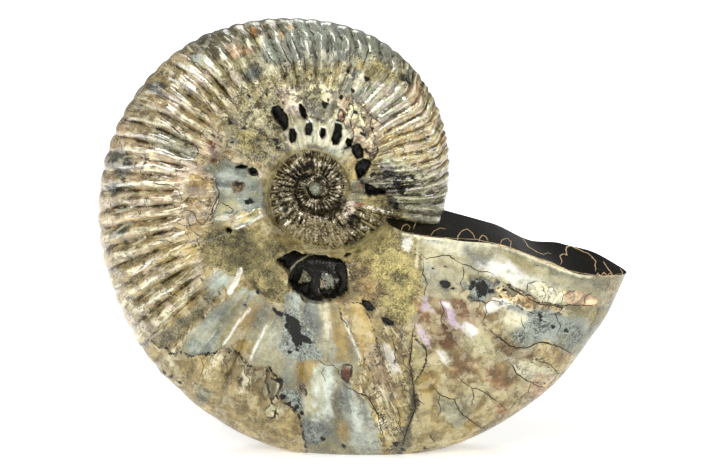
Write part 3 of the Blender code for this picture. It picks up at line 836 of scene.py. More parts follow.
    ("blue dots", SLATE * 0.8, dict(dark=0.45, milk=1), 2.5, 2, 0, "437,282 444,279 450,285 446,290 440,288"),
    ("brown curve", colour(104, 66, 34), SHELL, 3, 2, 0,
     "446,298 458,297 470,301 484,301 496,296 500,302 486,308 466,308"),
    ("purple brown", colour(150, 112, 82), SHELL, 4, 3, 0,
     "424,300 446,302 462,306 480,312 486,324 470,322 448,320 430,318"),
    # white centre among the violet: pearly nacre, partly a painted highlight
    ("bright violet", WHITE, PEARL, 2, 1.5, 0.05, "483,307 494,299 506,298 511,304 500,311 488,313"),
    ("white field", PALE_CREAM, NACRE, 2, 2, 0.05, "502,318 508,307 520,307 531,312 529,330 516,334 505,330"),
    ("blue curls", PALE_BLUE * 0.64, dict(milk=1, curls=0.6, grain=0, crazed=0), 6, 4, -0.1,
     "528,314 540,310 556,314 570,316 588,320 582,334 572,347"
     " 560,343 548,343 538,342 524,346 512,343 506,334 518,334"),
    ("blue blot", SLATE * 0.5, dict(milk=1, curls=0.8), 5, 4, 0, "512,334 522,332 528,340 520,345 512,342"),
    ("blue blot two", SLATE * 0.6, dict(milk=1, curls=0.6), 5, 4, 0,
     "566,330 580,332 580,342 570,346 562,340"),
    ("dark curls right", SLATE * 0.4, CURLED, 5, 4, 0, "532,312 544,316 550,330 540,338 530,330"),
    ("brown rim", BROWN * 0.9, PLATES, 3, 2, 0.1,
     "488,326 500,336 512,347 528,350 540,345 552,347 566,352"
     " 574,356 568,364 550,360 528,360 508,356 494,344"),
    ("brown behind the pearl", colour(134, 100, 60), dict(milk=0, grain=0.1), 5, 4, 0,
     "416,304 432,298 448,302 462,312 470,324 466,340 452,352 436,346 424,336 416,320"),
    ("violet", VIOLET * 0.6, PEARL, 4, 4, 0, "421,300 428,299 431,305 428,311 422,307"),
    ("violet two", VIOLET * 1.1, PEARL, 2.5, 3, 0, "441,303 446,302 454,318 457,328 452,326 446,314"),
    # white pearly patch, partly a painted highlight
    ("white two", WHITE, PEARL, 3, 2.5, 0.05, "457,326 466,321 477,330 475,337 464,337"),
    ("violet three", VIOLET, PEARL, 3, 3, 0, "416,325 420,326 427,337 430,346 425,342 418,333"),
    # white pearly spot, partly a painted highlight
    ("white by the violet", WHITE, PEARL, 2, 1.5, 0.05, "444,300 449,303 452,311 447,309"),
    ("deep brown", colour(112, 78, 42), SHELL, 3, 3, 0,
     "430,318 444,322 456,334 460,342 448,350 438,346 432,334"),
    # thin white streak: painted highlight
    ("white three", WHITE * 0.9, PEARL, 1.5, 1.5, 0, "437,350 444,352 450,360 446,364 439,358"),
    # the brown shell on the right
    ("cream under", CREAM * 0.8, dict(milk=0.3), 8, 5, 0, "464,340 478,335 492,341 496,350 482,355 470,352"),
    ("smoky shell", colour(152, 120, 78), dict(milk=0, crumbs=0.3), 8, 5, 0,
     "446,360 462,352 476,360 482,376 470,384 452,378"),
    ("smoky shell two", colour(160, 124, 84), dict(milk=0), 8, 5, 0,
     "484,362 500,366 512,382 504,396 490,390"),
    ("pale smoke", CREAM * 0.85, dict(milk=0.3), 5, 4, 0, "437,402 448,400 452,408 446,416 438,412"),
    ("pale smoke two", CREAM * 0.8, dict(milk=0.3), 6, 4, 0, "458,394 470,392 476,402 470,412 460,408"),
    ("brown smoke", AMBER * 0.8, dict(milk=0), 7, 4, 0, "420,376 434,370 440,384 432,396 420,392"),
    ("tan smoke", AMBER * 0.9, dict(milk=0), 8, 4, 0, "452,414 472,418 476,432 458,440 446,428"),
    ("cream tongue", PALE_CREAM * 0.9, dict(milk=0.3, crazed=0.4), 3, 2, 0.05,
     "507,357 524,360 544,366 558,374 548,386 530,381 514,372"),
    ("rosy plate", PEACH * 0.85, SHELL, 4, 2, 0, "540,372 556,376 552,392 536,396 524,388"),
    ("grey cloud low", GREY_GREEN * 0.9, dict(milk=0.5), 7, 4, 0,
     "438,408 452,400 466,408 470,420 458,430 444,424"),
    ("orange chip", ORANGE * 0.75, SHELL, 2, 1.5, 0, "491,406 500,402 508,408 505,416 497,412"),
    ("dark olive low", OLIVE_BROWN * 0.8, SANDY, 4, 3, 0, "396,436 404,424 414,426 412,444 402,454 392,452"),
    ("dark strip", OLIVE_BROWN * 0.6, dict(dark=0.3, grain=0.9, milk=0), 3, 2.5, -0.15,
     "397,456 400,440 405,426 410,410 409,384 409,362 411,340 414,332"
     " 415,346 413,366 416,388 419,408 412,428 406,446 404,456"),
    ("curls around the growth", BLUE_GREY * 0.5, CURLED, 4, 4, 0,
     "282,312 294,308 304,322 314,334 310,352 298,354 288,346 282,330"),
    ("yellow lens", YELLOW_OLIVE, dict(milk=0.5, shine=0.4), 2, 1, 0.1,
     "413,336 421,343 427,352 426,362 421,374 415,381 411,366 411,350"),
    ("black growth", BLACK, dict(dark=0.8, milk=1, curls=1), 3, 3, -0.1,
     "284,315 293,316 299,322 300,331 308,337 317,340 314,345 302,347 293,343 289,336 285,328"),
    ("white by the start", WHITE, PEARL, 2, 1.5, 0.1, "402,240 410,238 413,246 409,252 403,248"),
)

# Narrow ridges and streaks, many of them painted highlights along crests and ridges: name, colour, finishes,
# width, raised in millimetres, line
STREAKS = (
    ("cream sliver", CREAM, SHELL, 3.5, 0.15, "419,235 418,250 416,266"),
    # a painted highlight along a nacre ridge
    ("white ridge", WHITE, PEARL, 2.0, 0.2, "345,322 350,334 355,345 360,358"),
    ("bump orange", AMBER, PEARL, 2.5, 0.0, "240,223 248,217 257,212"),
    ("bump white", WHITE, PEARL, 2.0, 0.1, "243,226 252,221 263,215"),
    # pale streaks on the lower left ribs: painted highlights on slightly raised ridges
    ("left ridge", WHITE, PEARL, 2.2, 0.15, "136,272 144,266 154,258"),
    ("left ridge two", WHITE, PEARL, 1.8, 0.15, "144,287 150,281 158,276"),
    ("left ridge three", WHITE, PEARL, 2.0, 0.15, "150,302 160,295 174,288"),
    ("left ridge four", PALE_CREAM, PEARL, 1.6, 0.15, "158,324 172,312 190,298"),
    # pale streaks along the left ribs' crests: painted highlights, raised a little as worn crests
    ("crest one", WHITE, PEARL, 2.6, 0.12, "180,65 190,70 203,81"),
    ("crest two", WHITE, PEARL, 2.4, 0.12, "170,79 182,83 196,92"),
    ("crest three", PALE_CREAM, PEARL, 1.6, 0.12, "205,62 212,72 221,84"),
    ("crest four", WHITE, PEARL, 2.0, 0.12, "148,91 164,95 180,102 190,110"),
    ("crest five", PALE_CREAM, PEARL, 2.4, 0.12, "136,106 152,108 170,114"),
    ("crest six", PALE_CREAM, PEARL, 2.4, 0.12, "131,119 146,121 166,127"),
    ("crest seven", WHITE, PEARL, 2.2, 0.12, "127,135 144,137 168,143"),
    ("crest eight", WHITE, PEARL, 1.6, 0.12, "127,149 140,149 153,151"),
    ("crest nine", PALE_CREAM, PEARL, 1.6, 0.12, "125,156 142,156 160,160"),
    ("crest ten", WHITE, PEARL, 2.0, 0.12, "122,168 136,166 152,166"),
    ("crest eleven", WHITE, PEARL, 2.0, 0.12, "118,186 134,183 154,182"),
    ("crest twelve", PALE_CREAM, PEARL, 1.6, 0.12, "117,197 134,193 152,192"),
    ("crest thirteen", WHITE, PEARL, 2.2, 0.12, "118,212 134,206 150,202"),
    ("crest fourteen", PALE_CREAM, PEARL, 1.6, 0.12, "116,232 124,226 134,222"),
    ("crest fifteen", PALE_CREAM, PEARL, 1.8, 0.12, "134,244 142,240 152,234"),
    ("pale rim of the cut", PALE_CREAM, SHELL, 2.4, 0.0,
     "404,233.5 420,237 438,239.5 456,240.5 477,241.5 492,245"
     " 507,248.5 522,254 538,260.5 555,267.5 572,273.5 590,277"),
    ("rim of the hollow", CREAM, SHELL, 2.2, 0.0, "396,232 394,226 396,220 402,217 410,219"),
    # white lines on the nacre's ridges below the hollow: painted highlights
    ("nacre ridge", WHITE, PEARL, 1.8, 0.2, "224,343 236,326 250,308"),
    ("nacre ridge two", WHITE, PEARL, 2.0, 0.2, "251,358 258,342 267,326"),
    ("white tooth", WHITE, PEARL, 4.5, 0.15, "241,270 236,281 230,292"),
    ("fine green", colour(150, 190, 110), PEARL, 1.2, 0.05, "375,87 371,95 368,104"),
    ("fine orange", colour(212, 150, 96), PEARL, 1.2, 0.05, "405,100 398,105 390,110"),
    ("fine orange two", colour(206, 150, 110), PEARL, 1.2, 0.05, "388,90 382,99 377,106"),
    ("fine white", WHITE, PEARL, 1.2, 0.05, "396,92 389,102 383,108"),
    ("boss rim", CREAM, NACRE, 1.6, 0.25, "286,148 288,136 291,127 297,123"),
    ("boss rim two", CREAM, NACRE, 1.6, 0.25, "303,147 302,134 304,124 312,121 315,130 316,144"),
    ("boss rim three", CREAM, NACRE, 1.6, 0.25, "317,144 317,132 320,124 328,124 330,136 328,145"),
    ("left eye rim", WHITE, PEARL, 1.6, 0.15, "288,142 287,134 290,128 295,127 298,133"),
    ("window rim", WHITE, PEARL, 1.4, 0.15, "304,136 303,128 307,121 312,121 314,128 313,136"),
    ("right eye rim", WHITE, PEARL, 1.6, 0.15, "319,138 318,131 321,126 326,127 328,134 326,140"),
    ("tall rim", CREAM, PEARL, 1.2, 0.1, "270,112 272,106 279,104 285,111 289,119 290,128"),
    ("oval rim", CREAM, PEARL, 1.2, 0.1, "247,173 250,168 255,168 260,172 260,178 255,178 249,176 247,173"),
    ("curl line", PEACH * 0.8, SHELL, 1.2, 0.0, "320,284 322,289 318,293 319,298"),
    ("rim beside the coil", CREAM, SHELL, 1.4, 0.1, "356,166 360,159 368,156 376,160 380,168"),
    ("pocket rim", CREAM * 0.85, SHELL, 2.4, 0.0,
     "295,249 302,254 309,259 316,257 324,257 332,259 340,262 344,265"),
    ("pocket wall", CREAM * 0.8, SHELL, 2.2, 0.0, "308,260 299,265 293,269 289,275 286,283"),
)


# Open pockets: name, depth in millimetres, outline
POCKETS = (
    ("under the coil", 5.0,
     "276,261 293,252 303,254 315,256 329,258 341,260 345,263 347,278 348,292"
     " 343,296 335,300 320,303 305,301 299,294 288,285 289,274 285,270"),
    ("tall", 2.6, "273,107 279,106 283,112 287,118 288,128 284,131 279,124 274,118 271,112"),
    ("slit", 1.6, "299,104 302,107 307,116 306,120 303,118 299,110"),
    ("window", 0.8, "306,124 311,123 312,130 311,135 306,134 305,129"),
    ("left eye", 1.8, "290,130 294,129 296,134 295,141 291,142 289,136"),
    ("right eye", 1.8, "321,128 325,129 326,134 323,138 320,135 320,131"),
    ("long", 2.2, "336,124 341,125 341,136 338,144 333,144 332,138"),
    ("gap", 1.6, "347,138 351,140 352,148 348,147 346,142"),
    ("lower gap", 1.8, "353,146 359,144 363,150 362,157 356,158 352,152"),
    ("beside the coil", 2.4, "357,162 363,159 369,160 371,164 368,169 364,176 359,178 355,170"),
    ("under it", 1.6, "366,184 372,186 378,190 386,191 384,195 372,195 366,191"),
    ("long oval", 1.4, "236,167 240,165 247,166 246,168 240,169 236,168"),
    ("oval", 2.0, "248,170 252,168 257,171 258,175 253,175 249,173"),
    ("dot", 1.0, "226,229 229,228 232,231 231,233 227,232"),
    ("wall slot", 1.2, "344,256 347,253 352,252 351,255 347,257"),
    ("black mark", 0.8, "362,300 368,301 375,309 373,313 368,311 363,305"),
    ("second mark", 0.8, "382,318 388,318 395,324 393,327 387,326 383,322"),
)


# How dark the outline of a patch is, by name
RIMS = {
    "low brown shell": 1, "lower left nacre": 0.8, "yellow nacre": 0.9, "brown rim": 0.8,
    "cracked cream": 0.8, "cracked peach": 0.8, "olive plate": 1, "loose flake": 1, "yellow lens": 1,
    "rust": 0.8, "tan wedge": 0.8, "grey nacre": 0.8, "nacre under the cut": 0.8, "cream tongue": 0.85,
    "left ribs": 0.75, "lower nacre": 0.75, "brown plates": 0.9, "rust wedge": 1, "red wedge": 1,
    "broken facets": 0.8, "broken cream": 0.9, "pink facets": 0.8, "rosy plate": 0.8,
    "streaky shell": 0.7, "brown wedge": 0.8, "pearl bump": 0.7, "cream sliver": 0.9, "rust spot": 1,
    "small rust spot": 1,
}


# What lies in the pockets: name, colour, finishes, softness, wobble, raised in millimetres, outline
FILLINGS = (
    ("olive lump", OLIVE_BROWN * 0.5, dict(dark=0.25, grain=0.5, milk=0), 2, 2.5, 0.8,
     "299,276 304,273 309,277 309,284 303,288 298,283"),
    ("crystals", GREY_GREEN * 0.6, dict(dark=0.42, grain=0.7, milk=0, shine=0.5), 4, 5, 0.6,
     "320,278 332,274 339,282 340,292 332,298 322,297 316,288"),
    ("black by the rim", BROWN * 0.6, dict(dark=0.3, milk=0), 1.5, 1.5, 0.3,
     "290,248 295,244 300,247 298,251"),
)


# The sunken centre: name, colour, finishes, softness, wobble, raised in millimetres, outline
UMBILICUS_PATCHES = (
    ("smooth brown", colour(132, 116, 74), dict(shine=0), 4, 2, 0,
     "284,226 300,222 318,220 336,224 350,230 344,246 320,252 296,248 282,240"),
    # a painted highlight beside the sunken centre
    ("glint", colour(232, 216, 196), dict(shine=0.35), 2.5, 2.5, 0.1,
     "350,188 358,192 366,200 359,205 353,213 346,221 342,217 347,208 343,203 349,196"),
    ("rust by the glint", RUST * 1.3, dict(shine=0), 2, 1, 0, "354,199 362,198 366,204 360,210 354,208"),
)


# Small dark spots, as x,y,radius
SPOTS = (
    "238,183,2.5 250,199,2 247,201,2.5 258,292,3.5 274,142,4 278,148,3 315,131,1.5 323,104,3.5"
    " 328,99,2.5 367,78,2.5 353,91,2 279,314,3.5 275,310,2 352,139,2.5 362,134,2 346,148,2.5 372,128,2"
    " 356,112,2 366,150,2.5 341,98,2.5 338,120,2 300,97,2 283,102,2 292,87,1.5 244,128,2 229,122,2"
    " 257,138,2 231,142,2 248,96,2 266,94,1.5 310,75,2 330,73,1.5 347,70,2 380,100,1.5 394,208,3"
    " 389,203,2 244,305,2 214,300,1.5 203,316,2 165,371,3 172,376,2 180,382,2 446,284,2.5 441,282,1.5"
    " 452,288,1.5 478,288,5 484,284,3 471,284,3 446,266,1.5 432,268,1.5 505,290,2 540,318,2.5"
    " 552,327,2.5 520,338,2 566,331,2 395,445,3 404,450,2 424,448,2 344,446,2.5 322,438,2.5 290,352,2.5"
    " 296,349,2 303,353,2 284,395,2.5 290,402,2.5 296,408,2.5 302,414,2 268,371,2 230,350,1.5"
)


def lay_patches(skin, patches, far=1.0):
    """Lays patches in order. far is how strongly they show on the far side."""
    for name, tint, finishes, soft, wobble, raised, shape in patches:
        weight = skin.cover(outline(shape), soft=soft, wobble=wobble, far=far, rim=RIMS.get(name, 0))
        skin.lay(weight, tint, raised, **finishes)


def lay_spots(skin):
    """Small spots of black mineral."""
    for place in SPOTS.split():
        x, y, radius = (float(number) for number in place.split(","))
        here = skin.cover(np.array([[x, y], [x + 0.8, y + 0.5]]), closed=False, soft=1.2, wobble=radius * 0.7,
                          width=radius * 1.6, far=0.6)
        skin.lay(here, BLACK * 1.5, dark=0.85)


def paint(skin):
    """The last turn: its wall, then patches, spots, pockets and what lies in them, and streaks."""
    # stronger painted shade in the rib grooves, with streaks and worn crests, fading out towards the sawn end
    skin.soot += 0.5 * (1 - smooth_step(skin.angle, 222, 262))
    skin.crazed += 0.25
    wall = 1 - smooth_step(skin.reach, 0.262, 0.275)
    skin.lay(wall, WALL_TAN, soot=0, crazed=0, groove=0, grain=0.2)
    lay_patches(skin, PATCHES)
    lay_spots(skin)
    for _, depth, shape in POCKETS:
        inside = skin.cover(outline(shape), soft=1.0, wobble=0.6, far=0, rim=0.9)
        skin.lay(inside, BLACK, dark=1, grain=0, milk=0, shine=0, crazed=0, groove=0)
        skin.sunk += MILLIMETRE * depth * inside
    lay_patches(skin, FILLINGS, far=0)
    for _, tint, finishes, width, raised, line in STREAKS:
        on_line = skin.cover(outline(line), closed=False, soft=1.0, wobble=0.6, width=width)
        skin.lay(on_line, tint, raised, **finishes)


def paint_umbilicus(skin):
    """The inner turns: dark metallic ribs, smooth brown below, and a painted highlight on the right."""
    skin.tint[:] = UMBILICUS_BROWN
    skin.shine += 1
    lay_patches(skin, UMBILICUS_PATCHES)


class Value:
    """An output of a node, which can be added, taken away, multiplied and divided as a number can."""

    def __init__(self, nodes, socket):
        self.nodes = nodes
        self.socket = socket

    def __add__(self, other):
        return self.nodes.math("ADD", self, other)

    def __sub__(self, other):
        return self.nodes.math("SUBTRACT", self, other)

    def __rsub__(self, other):
        return self.nodes.math("SUBTRACT", other, self)

    def __mul__(self, other):
        return self.nodes.math("MULTIPLY", self, other)

    def __truediv__(self, other):
        return self.nodes.math("DIVIDE", self, other)

    def __abs__(self):
        return self.nodes.math("ABSOLUTE", self)

    def ramp(self, low, high, to_low=0.0, to_high=1.0):
        """Runs smoothly from to_low at low to to_high at high."""
        inputs = {"Value": self, "From Min": low, "From Max": high, "To Min": to_low, "To Max": to_high}
        return self.nodes.value("MapRange", inputs, interpolation_type="SMOOTHSTEP")


class Nodes:
    """Adds nodes to a tree in one call each."""

    def __init__(self, tree):
        self.tree = tree

    def feed(self, node, inputs):
        """Sets inputs by name or number, each to a number, a colour or another node's output."""
        for name, value in dict(inputs).items():
            if isinstance(value, Value):
                value = value.socket
            if isinstance(value, np.ndarray):
                value = (*value, 1)
            if isinstance(value, bpy.types.NodeSocket):
                self.tree.links.new(value, node.inputs[name])
            else:
                node.inputs[name].default_value = value

    def add(self, kind, inputs=(), **settings):
        node = self.tree.nodes.new("ShaderNode" + kind)
        for name, value in settings.items():
            setattr(node, name, value)
        self.feed(node, inputs)
        return node

    def value(self, kind, inputs=(), output=0, **settings):
        """One output of a new node."""
        return Value(self, self.add(kind, inputs, **settings).outputs[output])

    def attribute(self, name):
        return self.value("Attribute", output="Fac", attribute_name=name)

    def math(self, operation, *values, clamp=False):
        return self.value("Math", enumerate(values), operation=operation, use_clamp=clamp)

    def noise(self, vector, scale, detail=2.0, rough=0.5, twist=0.0):
        inputs = {"Vector": vector, "Scale": scale, "Detail": detail, "Roughness": rough, "Distortion": twist}
        return self.value("TexNoise", inputs, "Fac")

    def mix(self, share, one, other, blend="MIX"):
        """Two colours mixed: a share of 0 is all the first."""
        node = self.add("Mix", {0: share, 6: one, 7: other}, data_type="RGBA", blend_type=blend)
        return node.outputs[2]

    def grey(self, value):
        return self.add("CombineColor", {0: value, 1: value, 2: value}).outputs[0]

    def shade(self, paint, value):
        """A colour made darker or lighter."""
        return self.mix(1.0, paint, self.grey(value), "MULTIPLY")

    def bump(self, height, distance, strength=1.0):
        inputs = {"Height": height, "Strength": strength, "Distance": distance}
        return self.add("Bump", inputs).outputs["Normal"]

    def group(self, tree, **inputs):
        """An effect's outputs by name."""
        node = self.add("Group", inputs, node_tree=tree)
        return {output.name: Value(self, output) for output in node.outputs}


def effect(name, inputs, outputs):
    """An empty node group with named sockets, as (group, its nodes, its inputs, its output node)."""
    tree = bpy.data.node_groups.new(name, "ShaderNodeTree")
    for socket in inputs:
        kind = "NodeSocketVector" if socket == "Vector" else "NodeSocketFloat"
        tree.interface.new_socket(socket, in_out="INPUT", socket_type=kind)
    for socket in outputs:
        tree.interface.new_socket(socket, in_out="OUTPUT", socket_type="NodeSocketFloat")
    source = tree.nodes.new("NodeGroupInput").outputs
    return tree, Nodes(tree), source, tree.nodes.new("NodeGroupOutput")


def grains_effect():
    """The sandy matrix: pale and dark grains with black specks between them."""
    tree, nodes, source, target = effect("sandy grains", ("Vector", "Scale"), ("Tone", "Specks", "Height"))
    cells = nodes.add("TexVoronoi", {"Vector": source["Vector"], "Scale": source["Scale"]})
    tone = nodes.value("SeparateColor", {"Color": cells.outputs["Color"]})
    away = Value(nodes, cells.outputs["Distance"])
    wide = nodes.noise(source["Vector"], 230.0, 4.0, 0.65)
    fine = nodes.noise(source["Vector"], 3600.0, 2.0, 0.65)
    nodes.feed(target, {
        "Tone": tone * 0.45 + fine * 0.8 + (wide - 0.5) * 1.9,
        "Specks": (fine + wide).ramp(0.90, 0.76),
        "Height": fine + away * -0.5,
    })
    return tree


def crazing_effect():
    """Fine cracks between the plates of a crazed shell, and a tone for each plate."""
    tree, nodes, source, target = effect("crazed plates", ("Vector", "Scale", "Width"), ("Cracks", "Plates"))
    inputs = {"Vector": source["Vector"], "Scale": 420.0, "Detail": 4.0, "Roughness": 0.65}
    bend = nodes.add("TexNoise", inputs).outputs["Color"]
    bent = nodes.add("VectorMath", {0: bend, 1: (0.5, 0.5, 0.5)}, operation="SUBTRACT").outputs[0]
    bent = nodes.add("VectorMath", {0: bent, "Scale": 0.006}, operation="SCALE").outputs[0]
    place = nodes.add("VectorMath", {0: source["Vector"], 1: bent}, operation="ADD").outputs[0]
    inputs = {"Vector": place, "Scale": source["Scale"]}
    edges = nodes.value("TexVoronoi", inputs, "Distance", feature="DISTANCE_TO_EDGE")
    cells = nodes.add("TexVoronoi", inputs)
    width = nodes.noise(source["Vector"], 200.0).ramp(0.45, 0.6, 0.01, 1.0) * source["Width"]
    nodes.feed(target, {
        "Cracks": nodes.math("SUBTRACT", 1.0, edges / width, clamp=True),
        "Plates": nodes.value("SeparateColor", {"Color": cells.outputs["Color"]}, 1),
    })
    return tree


def curls_effect():
    """Mineral growth that runs in curls and ferns, as fine dark veins."""
    tree, nodes, source, target = effect("mineral curls", ("Vector", "Scale"), ("Veins",))
    large = nodes.noise(source["Vector"], source["Scale"], 4.0, 0.62, 1.4)
    small = nodes.noise(source["Vector"], nodes.math("MULTIPLY", source["Scale"], 2.6), 3.0, 0.6, 0.8)
    veins = abs(large - 0.5).ramp(0.045, 0.0)
    side_veins = abs(small - 0.52).ramp(0.04, 0.0, 0.0, 0.8)
    nodes.feed(target, {"Veins": nodes.math("MAXIMUM", veins, side_veins)})
    return tree


def outlines_effect():
    """Thin wiggly outlines, broken off here and there, as where thin layers have flaked away."""
    tree, nodes, source, target = effect("flaked outlines", ("Vector", "Scale"), ("Line", "Layer"))
    field = nodes.noise(source["Vector"], source["Scale"], 3.0, 0.6, 0.3)
    gaps = nodes.noise(source["Vector"], 380.0, 1.0).ramp(0.46, 0.54)
    nodes.feed(target, {
        "Line": abs(field - 0.54).ramp(0.022, 0.008) * gaps,
        "Layer": field.ramp(0.535, 0.55),
    })
    return tree


def stripes_effect():
    """Streaks, broad bands and fine lines that run along the ribs, by growth angle and reach."""
    tree, nodes, _, target = effect("growth stripes", (), ("Fine", "Broad", "Lines"))
    angle = nodes.attribute("angle")
    inputs = {"X": angle * 0.8, "Y": nodes.attribute("reach") * 13.0, "Z": nodes.attribute("side") * 2.0}
    place = nodes.add("CombineXYZ", inputs).outputs[0]
    turn = angle * (4 * math.pi / RIB_PITCH) + nodes.noise(place, 0.5) * 9.0
    nodes.feed(target, {
        "Fine": nodes.noise(place, 1.0, 3.0, 0.65, 0.3),
        "Broad": nodes.noise(place, 0.22, 3.0, 0.55, 0.3),
        "Lines": nodes.math("SINE", turn),
    })
    return tree


def new_material(name):
    """A material, as (material, its nodes, places in the object's own frame, its shader)."""
    material = bpy.data.materials.new(name)
    material.use_nodes = True
    nodes = Nodes(material.node_tree)
    return material, nodes, nodes.add("TexCoord").outputs["Object"], nodes.tree.nodes["Principled BSDF"]


def shell_material(effects):
    """The last turn: brown shell, nacre, matrix and black mineral, by the finishes on the mesh."""
    material, nodes, place, shader = new_material("polished shell")
    tint = nodes.add("Attribute", attribute_name="tint").outputs["Color"]
    field = {name: nodes.attribute(name) for name in FINISHES}
    soot, shine = field["soot"], field["shine"]
    wide = nodes.noise(place, 130.0, 3.0, 0.6)
    middle = nodes.noise(place, 480.0, 4.0, 0.62)
    fine = nodes.noise(place, 2300.0, 3.0, 0.65)
    off_middle, off_fine = middle - 0.5, fine - 0.5
    sandy = nodes.group(effects["grains"], Vector=place, Scale=3200.0)
    plates = nodes.group(effects["crazing"], Vector=place, Scale=190.0, Width=0.03)
    crumbs = nodes.group(effects["crazing"], Vector=place, Scale=560.0, Width=0.08)
    feathers = nodes.group(effects["curls"], Vector=place, Scale=380.0)
    flakes = nodes.group(effects["outlines"], Vector=place, Scale=330.0)
    stripes = nodes.group(effects["stripes"])
    streaks, bands = stripes["Fine"], stripes["Broad"]
    ribbed = soot.ramp(0.1, 0.9) * field["grain"].ramp(0.6, 0.2)

    # the brown shell itself: cloudy, flaked and freckled, and streaked along the ribs
    body = nodes.shade(tint, (wide + middle).ramp(0.70, 1.30, 0.5, 1.5))
    body = nodes.shade(body, bands.ramp(0.35, 0.65, 0.8, 1.2))
    smoke = (wide + off_middle * 0.5).ramp(0.46, 0.62, 0.0, 0.5) * soot.ramp(0.4, 0.1)
    body = nodes.mix(smoke, body, CREAM * 0.95)
    body = nodes.mix(flakes["Layer"] * 0.22, body, PALE_CREAM)
    body = nodes.mix(middle.ramp(0.40, 0.30, 0.0, 0.45), body, ORANGE * 0.75)
    body = nodes.mix(fine.ramp(0.40, 0.26, 0.0, 0.5), body, DEEP_BROWN * 0.4)
    body = nodes.mix(fine.ramp(0.60, 0.72, 0.0, 0.4), body, CREAM)
    streaked = nodes.mix(streaks.ramp(0.44, 0.34, 0.0, 0.65), body, DEEP_BROWN * 0.3)
    streaked = nodes.mix(streaks.ramp(0.54, 0.66, 0.0, 0.7), streaked, PALE_CREAM)
    body = nodes.mix(ribbed, body, streaked)

    # painted shade in the grooves, partly dark mineral, with a thin dark outline, and worn pale crests
    lines = stripes["Lines"] * field["lines"]
    uneven = field["groove"] * 1.15 + off_middle * 2.6 + (streaks - 0.5) * 1.8 + lines * 0.7
    deep = uneven.ramp(-0.35, -0.9) * soot
    body = nodes.mix(deep * 0.95, body, DEEP_BROWN * 0.17)
    brink = abs(uneven + 0.2).ramp(0.16, 0.04) * wide.ramp(0.46, 0.58) * soot
    body = nodes.mix(brink, body, BLACK * 1.5)
    worn = uneven.ramp(0.75, 1.5, 0.0, 0.75) * soot.ramp(0.05, 0.3)
    body = nodes.mix(worn, body, PALE_CREAM)

    # milky nacre with soft blue, cream and olive bands and dark curls
    drift = bands * 0.65 + wide * 0.35
    cool = nodes.mix(drift.ramp(0.50, 0.66, 0.0, 0.75), tint, ICE * 0.9)
    cool = nodes.mix(drift.ramp(0.50, 0.40, 0.0, 0.5), cool, YELLOW_OLIVE * 0.65)
    cool = nodes.mix((bands + off_middle * 0.6).ramp(0.52, 0.72, 0.0, 0.9), cool, BLUE_GREY * 0.45)
    cool = nodes.shade(cool, (wide + middle).ramp(0.75, 1.25, 0.62, 1.15))
    cool = nodes.mix(fine.ramp(0.40, 0.28, 0.0, 0.5), cool, DARK_OLIVE * 0.6)
    cool = nodes.mix(fine.ramp(0.60, 0.72, 0.0, 0.4), cool, WHITE)
    veins = feathers["Veins"] * field["curls"].ramp(0.2, 0.8)
    cool = nodes.mix(field["curls"].ramp(0.2, 0.9, 0.0, 0.5), cool, SLATE * 0.6)
    cool = nodes.mix(veins * 0.8, cool, PALE_BLUE * 0.85)
    milky = (field["milk"] + off_fine * 0.5 + off_middle * 0.7).ramp(0.38, 0.62)
    paint = nodes.mix(milky, body, cool)

    # crazed plates, crumbs, the cracks between them and the outlines of flaked layers
    plated = nodes.shade(paint, plates["Plates"].ramp(0.1, 0.9, 0.72, 1.3))
    paint = nodes.mix(field["crazed"] * 0.8, paint, plated)
    crumbled = nodes.shade(paint, crumbs["Plates"].ramp(0.1, 0.9, 0.3, 1.7))
    paint = nodes.mix(field["crumbs"], paint, crumbled)
    patch_edges = (field["rim"] + off_fine * 0.4).ramp(0.70, 0.80) * middle.ramp(0.40, 0.5)
    layer_edges = flakes["Line"] * soot.ramp(0.2, 0.6, 0.4, 1.0) * field["milk"].ramp(0.8, 0.3)
    cracks = plates["Cracks"] * field["crazed"].ramp(0.05, 0.5)
    for more in (crumbs["Cracks"] * field["crumbs"], patch_edges, layer_edges * 0.8):
        cracks = nodes.math("MAXIMUM", cracks, more)
    paint = nodes.mix(cracks, paint, DEEP_BROWN * 0.12)

    # sandy matrix
    sand = nodes.shade(tint, sandy["Tone"].ramp(0.15, 1.15, 0.2, 1.75) * middle.ramp(0.35, 0.65, 0.72, 1.25))
    sand = nodes.mix(sandy["Specks"] * 0.55, sand, DEEP_BROWN * 0.3)
    sandy_here = (field["grain"] + off_fine * 1.4 + off_middle * 1.6).ramp(0.42, 0.58)
    paint = nodes.mix(sandy_here, paint, sand)

    # black mineral
    black_here = (field["dark"] + off_middle * 1.5 + off_fine * 0.9).ramp(0.42, 0.56)
    paint = nodes.mix(black_here, paint, BLACK * 0.6)
    paint = nodes.mix(black_here * fine.ramp(0.66, 0.74), paint, OLIVE_BROWN)

    # mother-of-pearl colours that change across the shell
    hue = nodes.noise(place, 330.0, 3.0, 0.6, 0.6)
    play = nodes.mix(hue.ramp(0.40, 0.50), PINK, PEARLY_GREEN)
    play = nodes.mix(hue.ramp(0.50, 0.60), play, VIOLET)
    paint = nodes.mix(shine * 0.3, paint, nodes.mix(1.0, paint, play, "OVERLAY"))

    # relief too fine for the mesh
    relief = middle + fine * 0.3 + flakes["Layer"] * 0.35 + streaks * ribbed * 1.3
    relief = relief * (1.0 - shine * 0.5) + lines * 0.7 + sandy["Height"] * sandy_here * 0.7 - cracks * 0.6

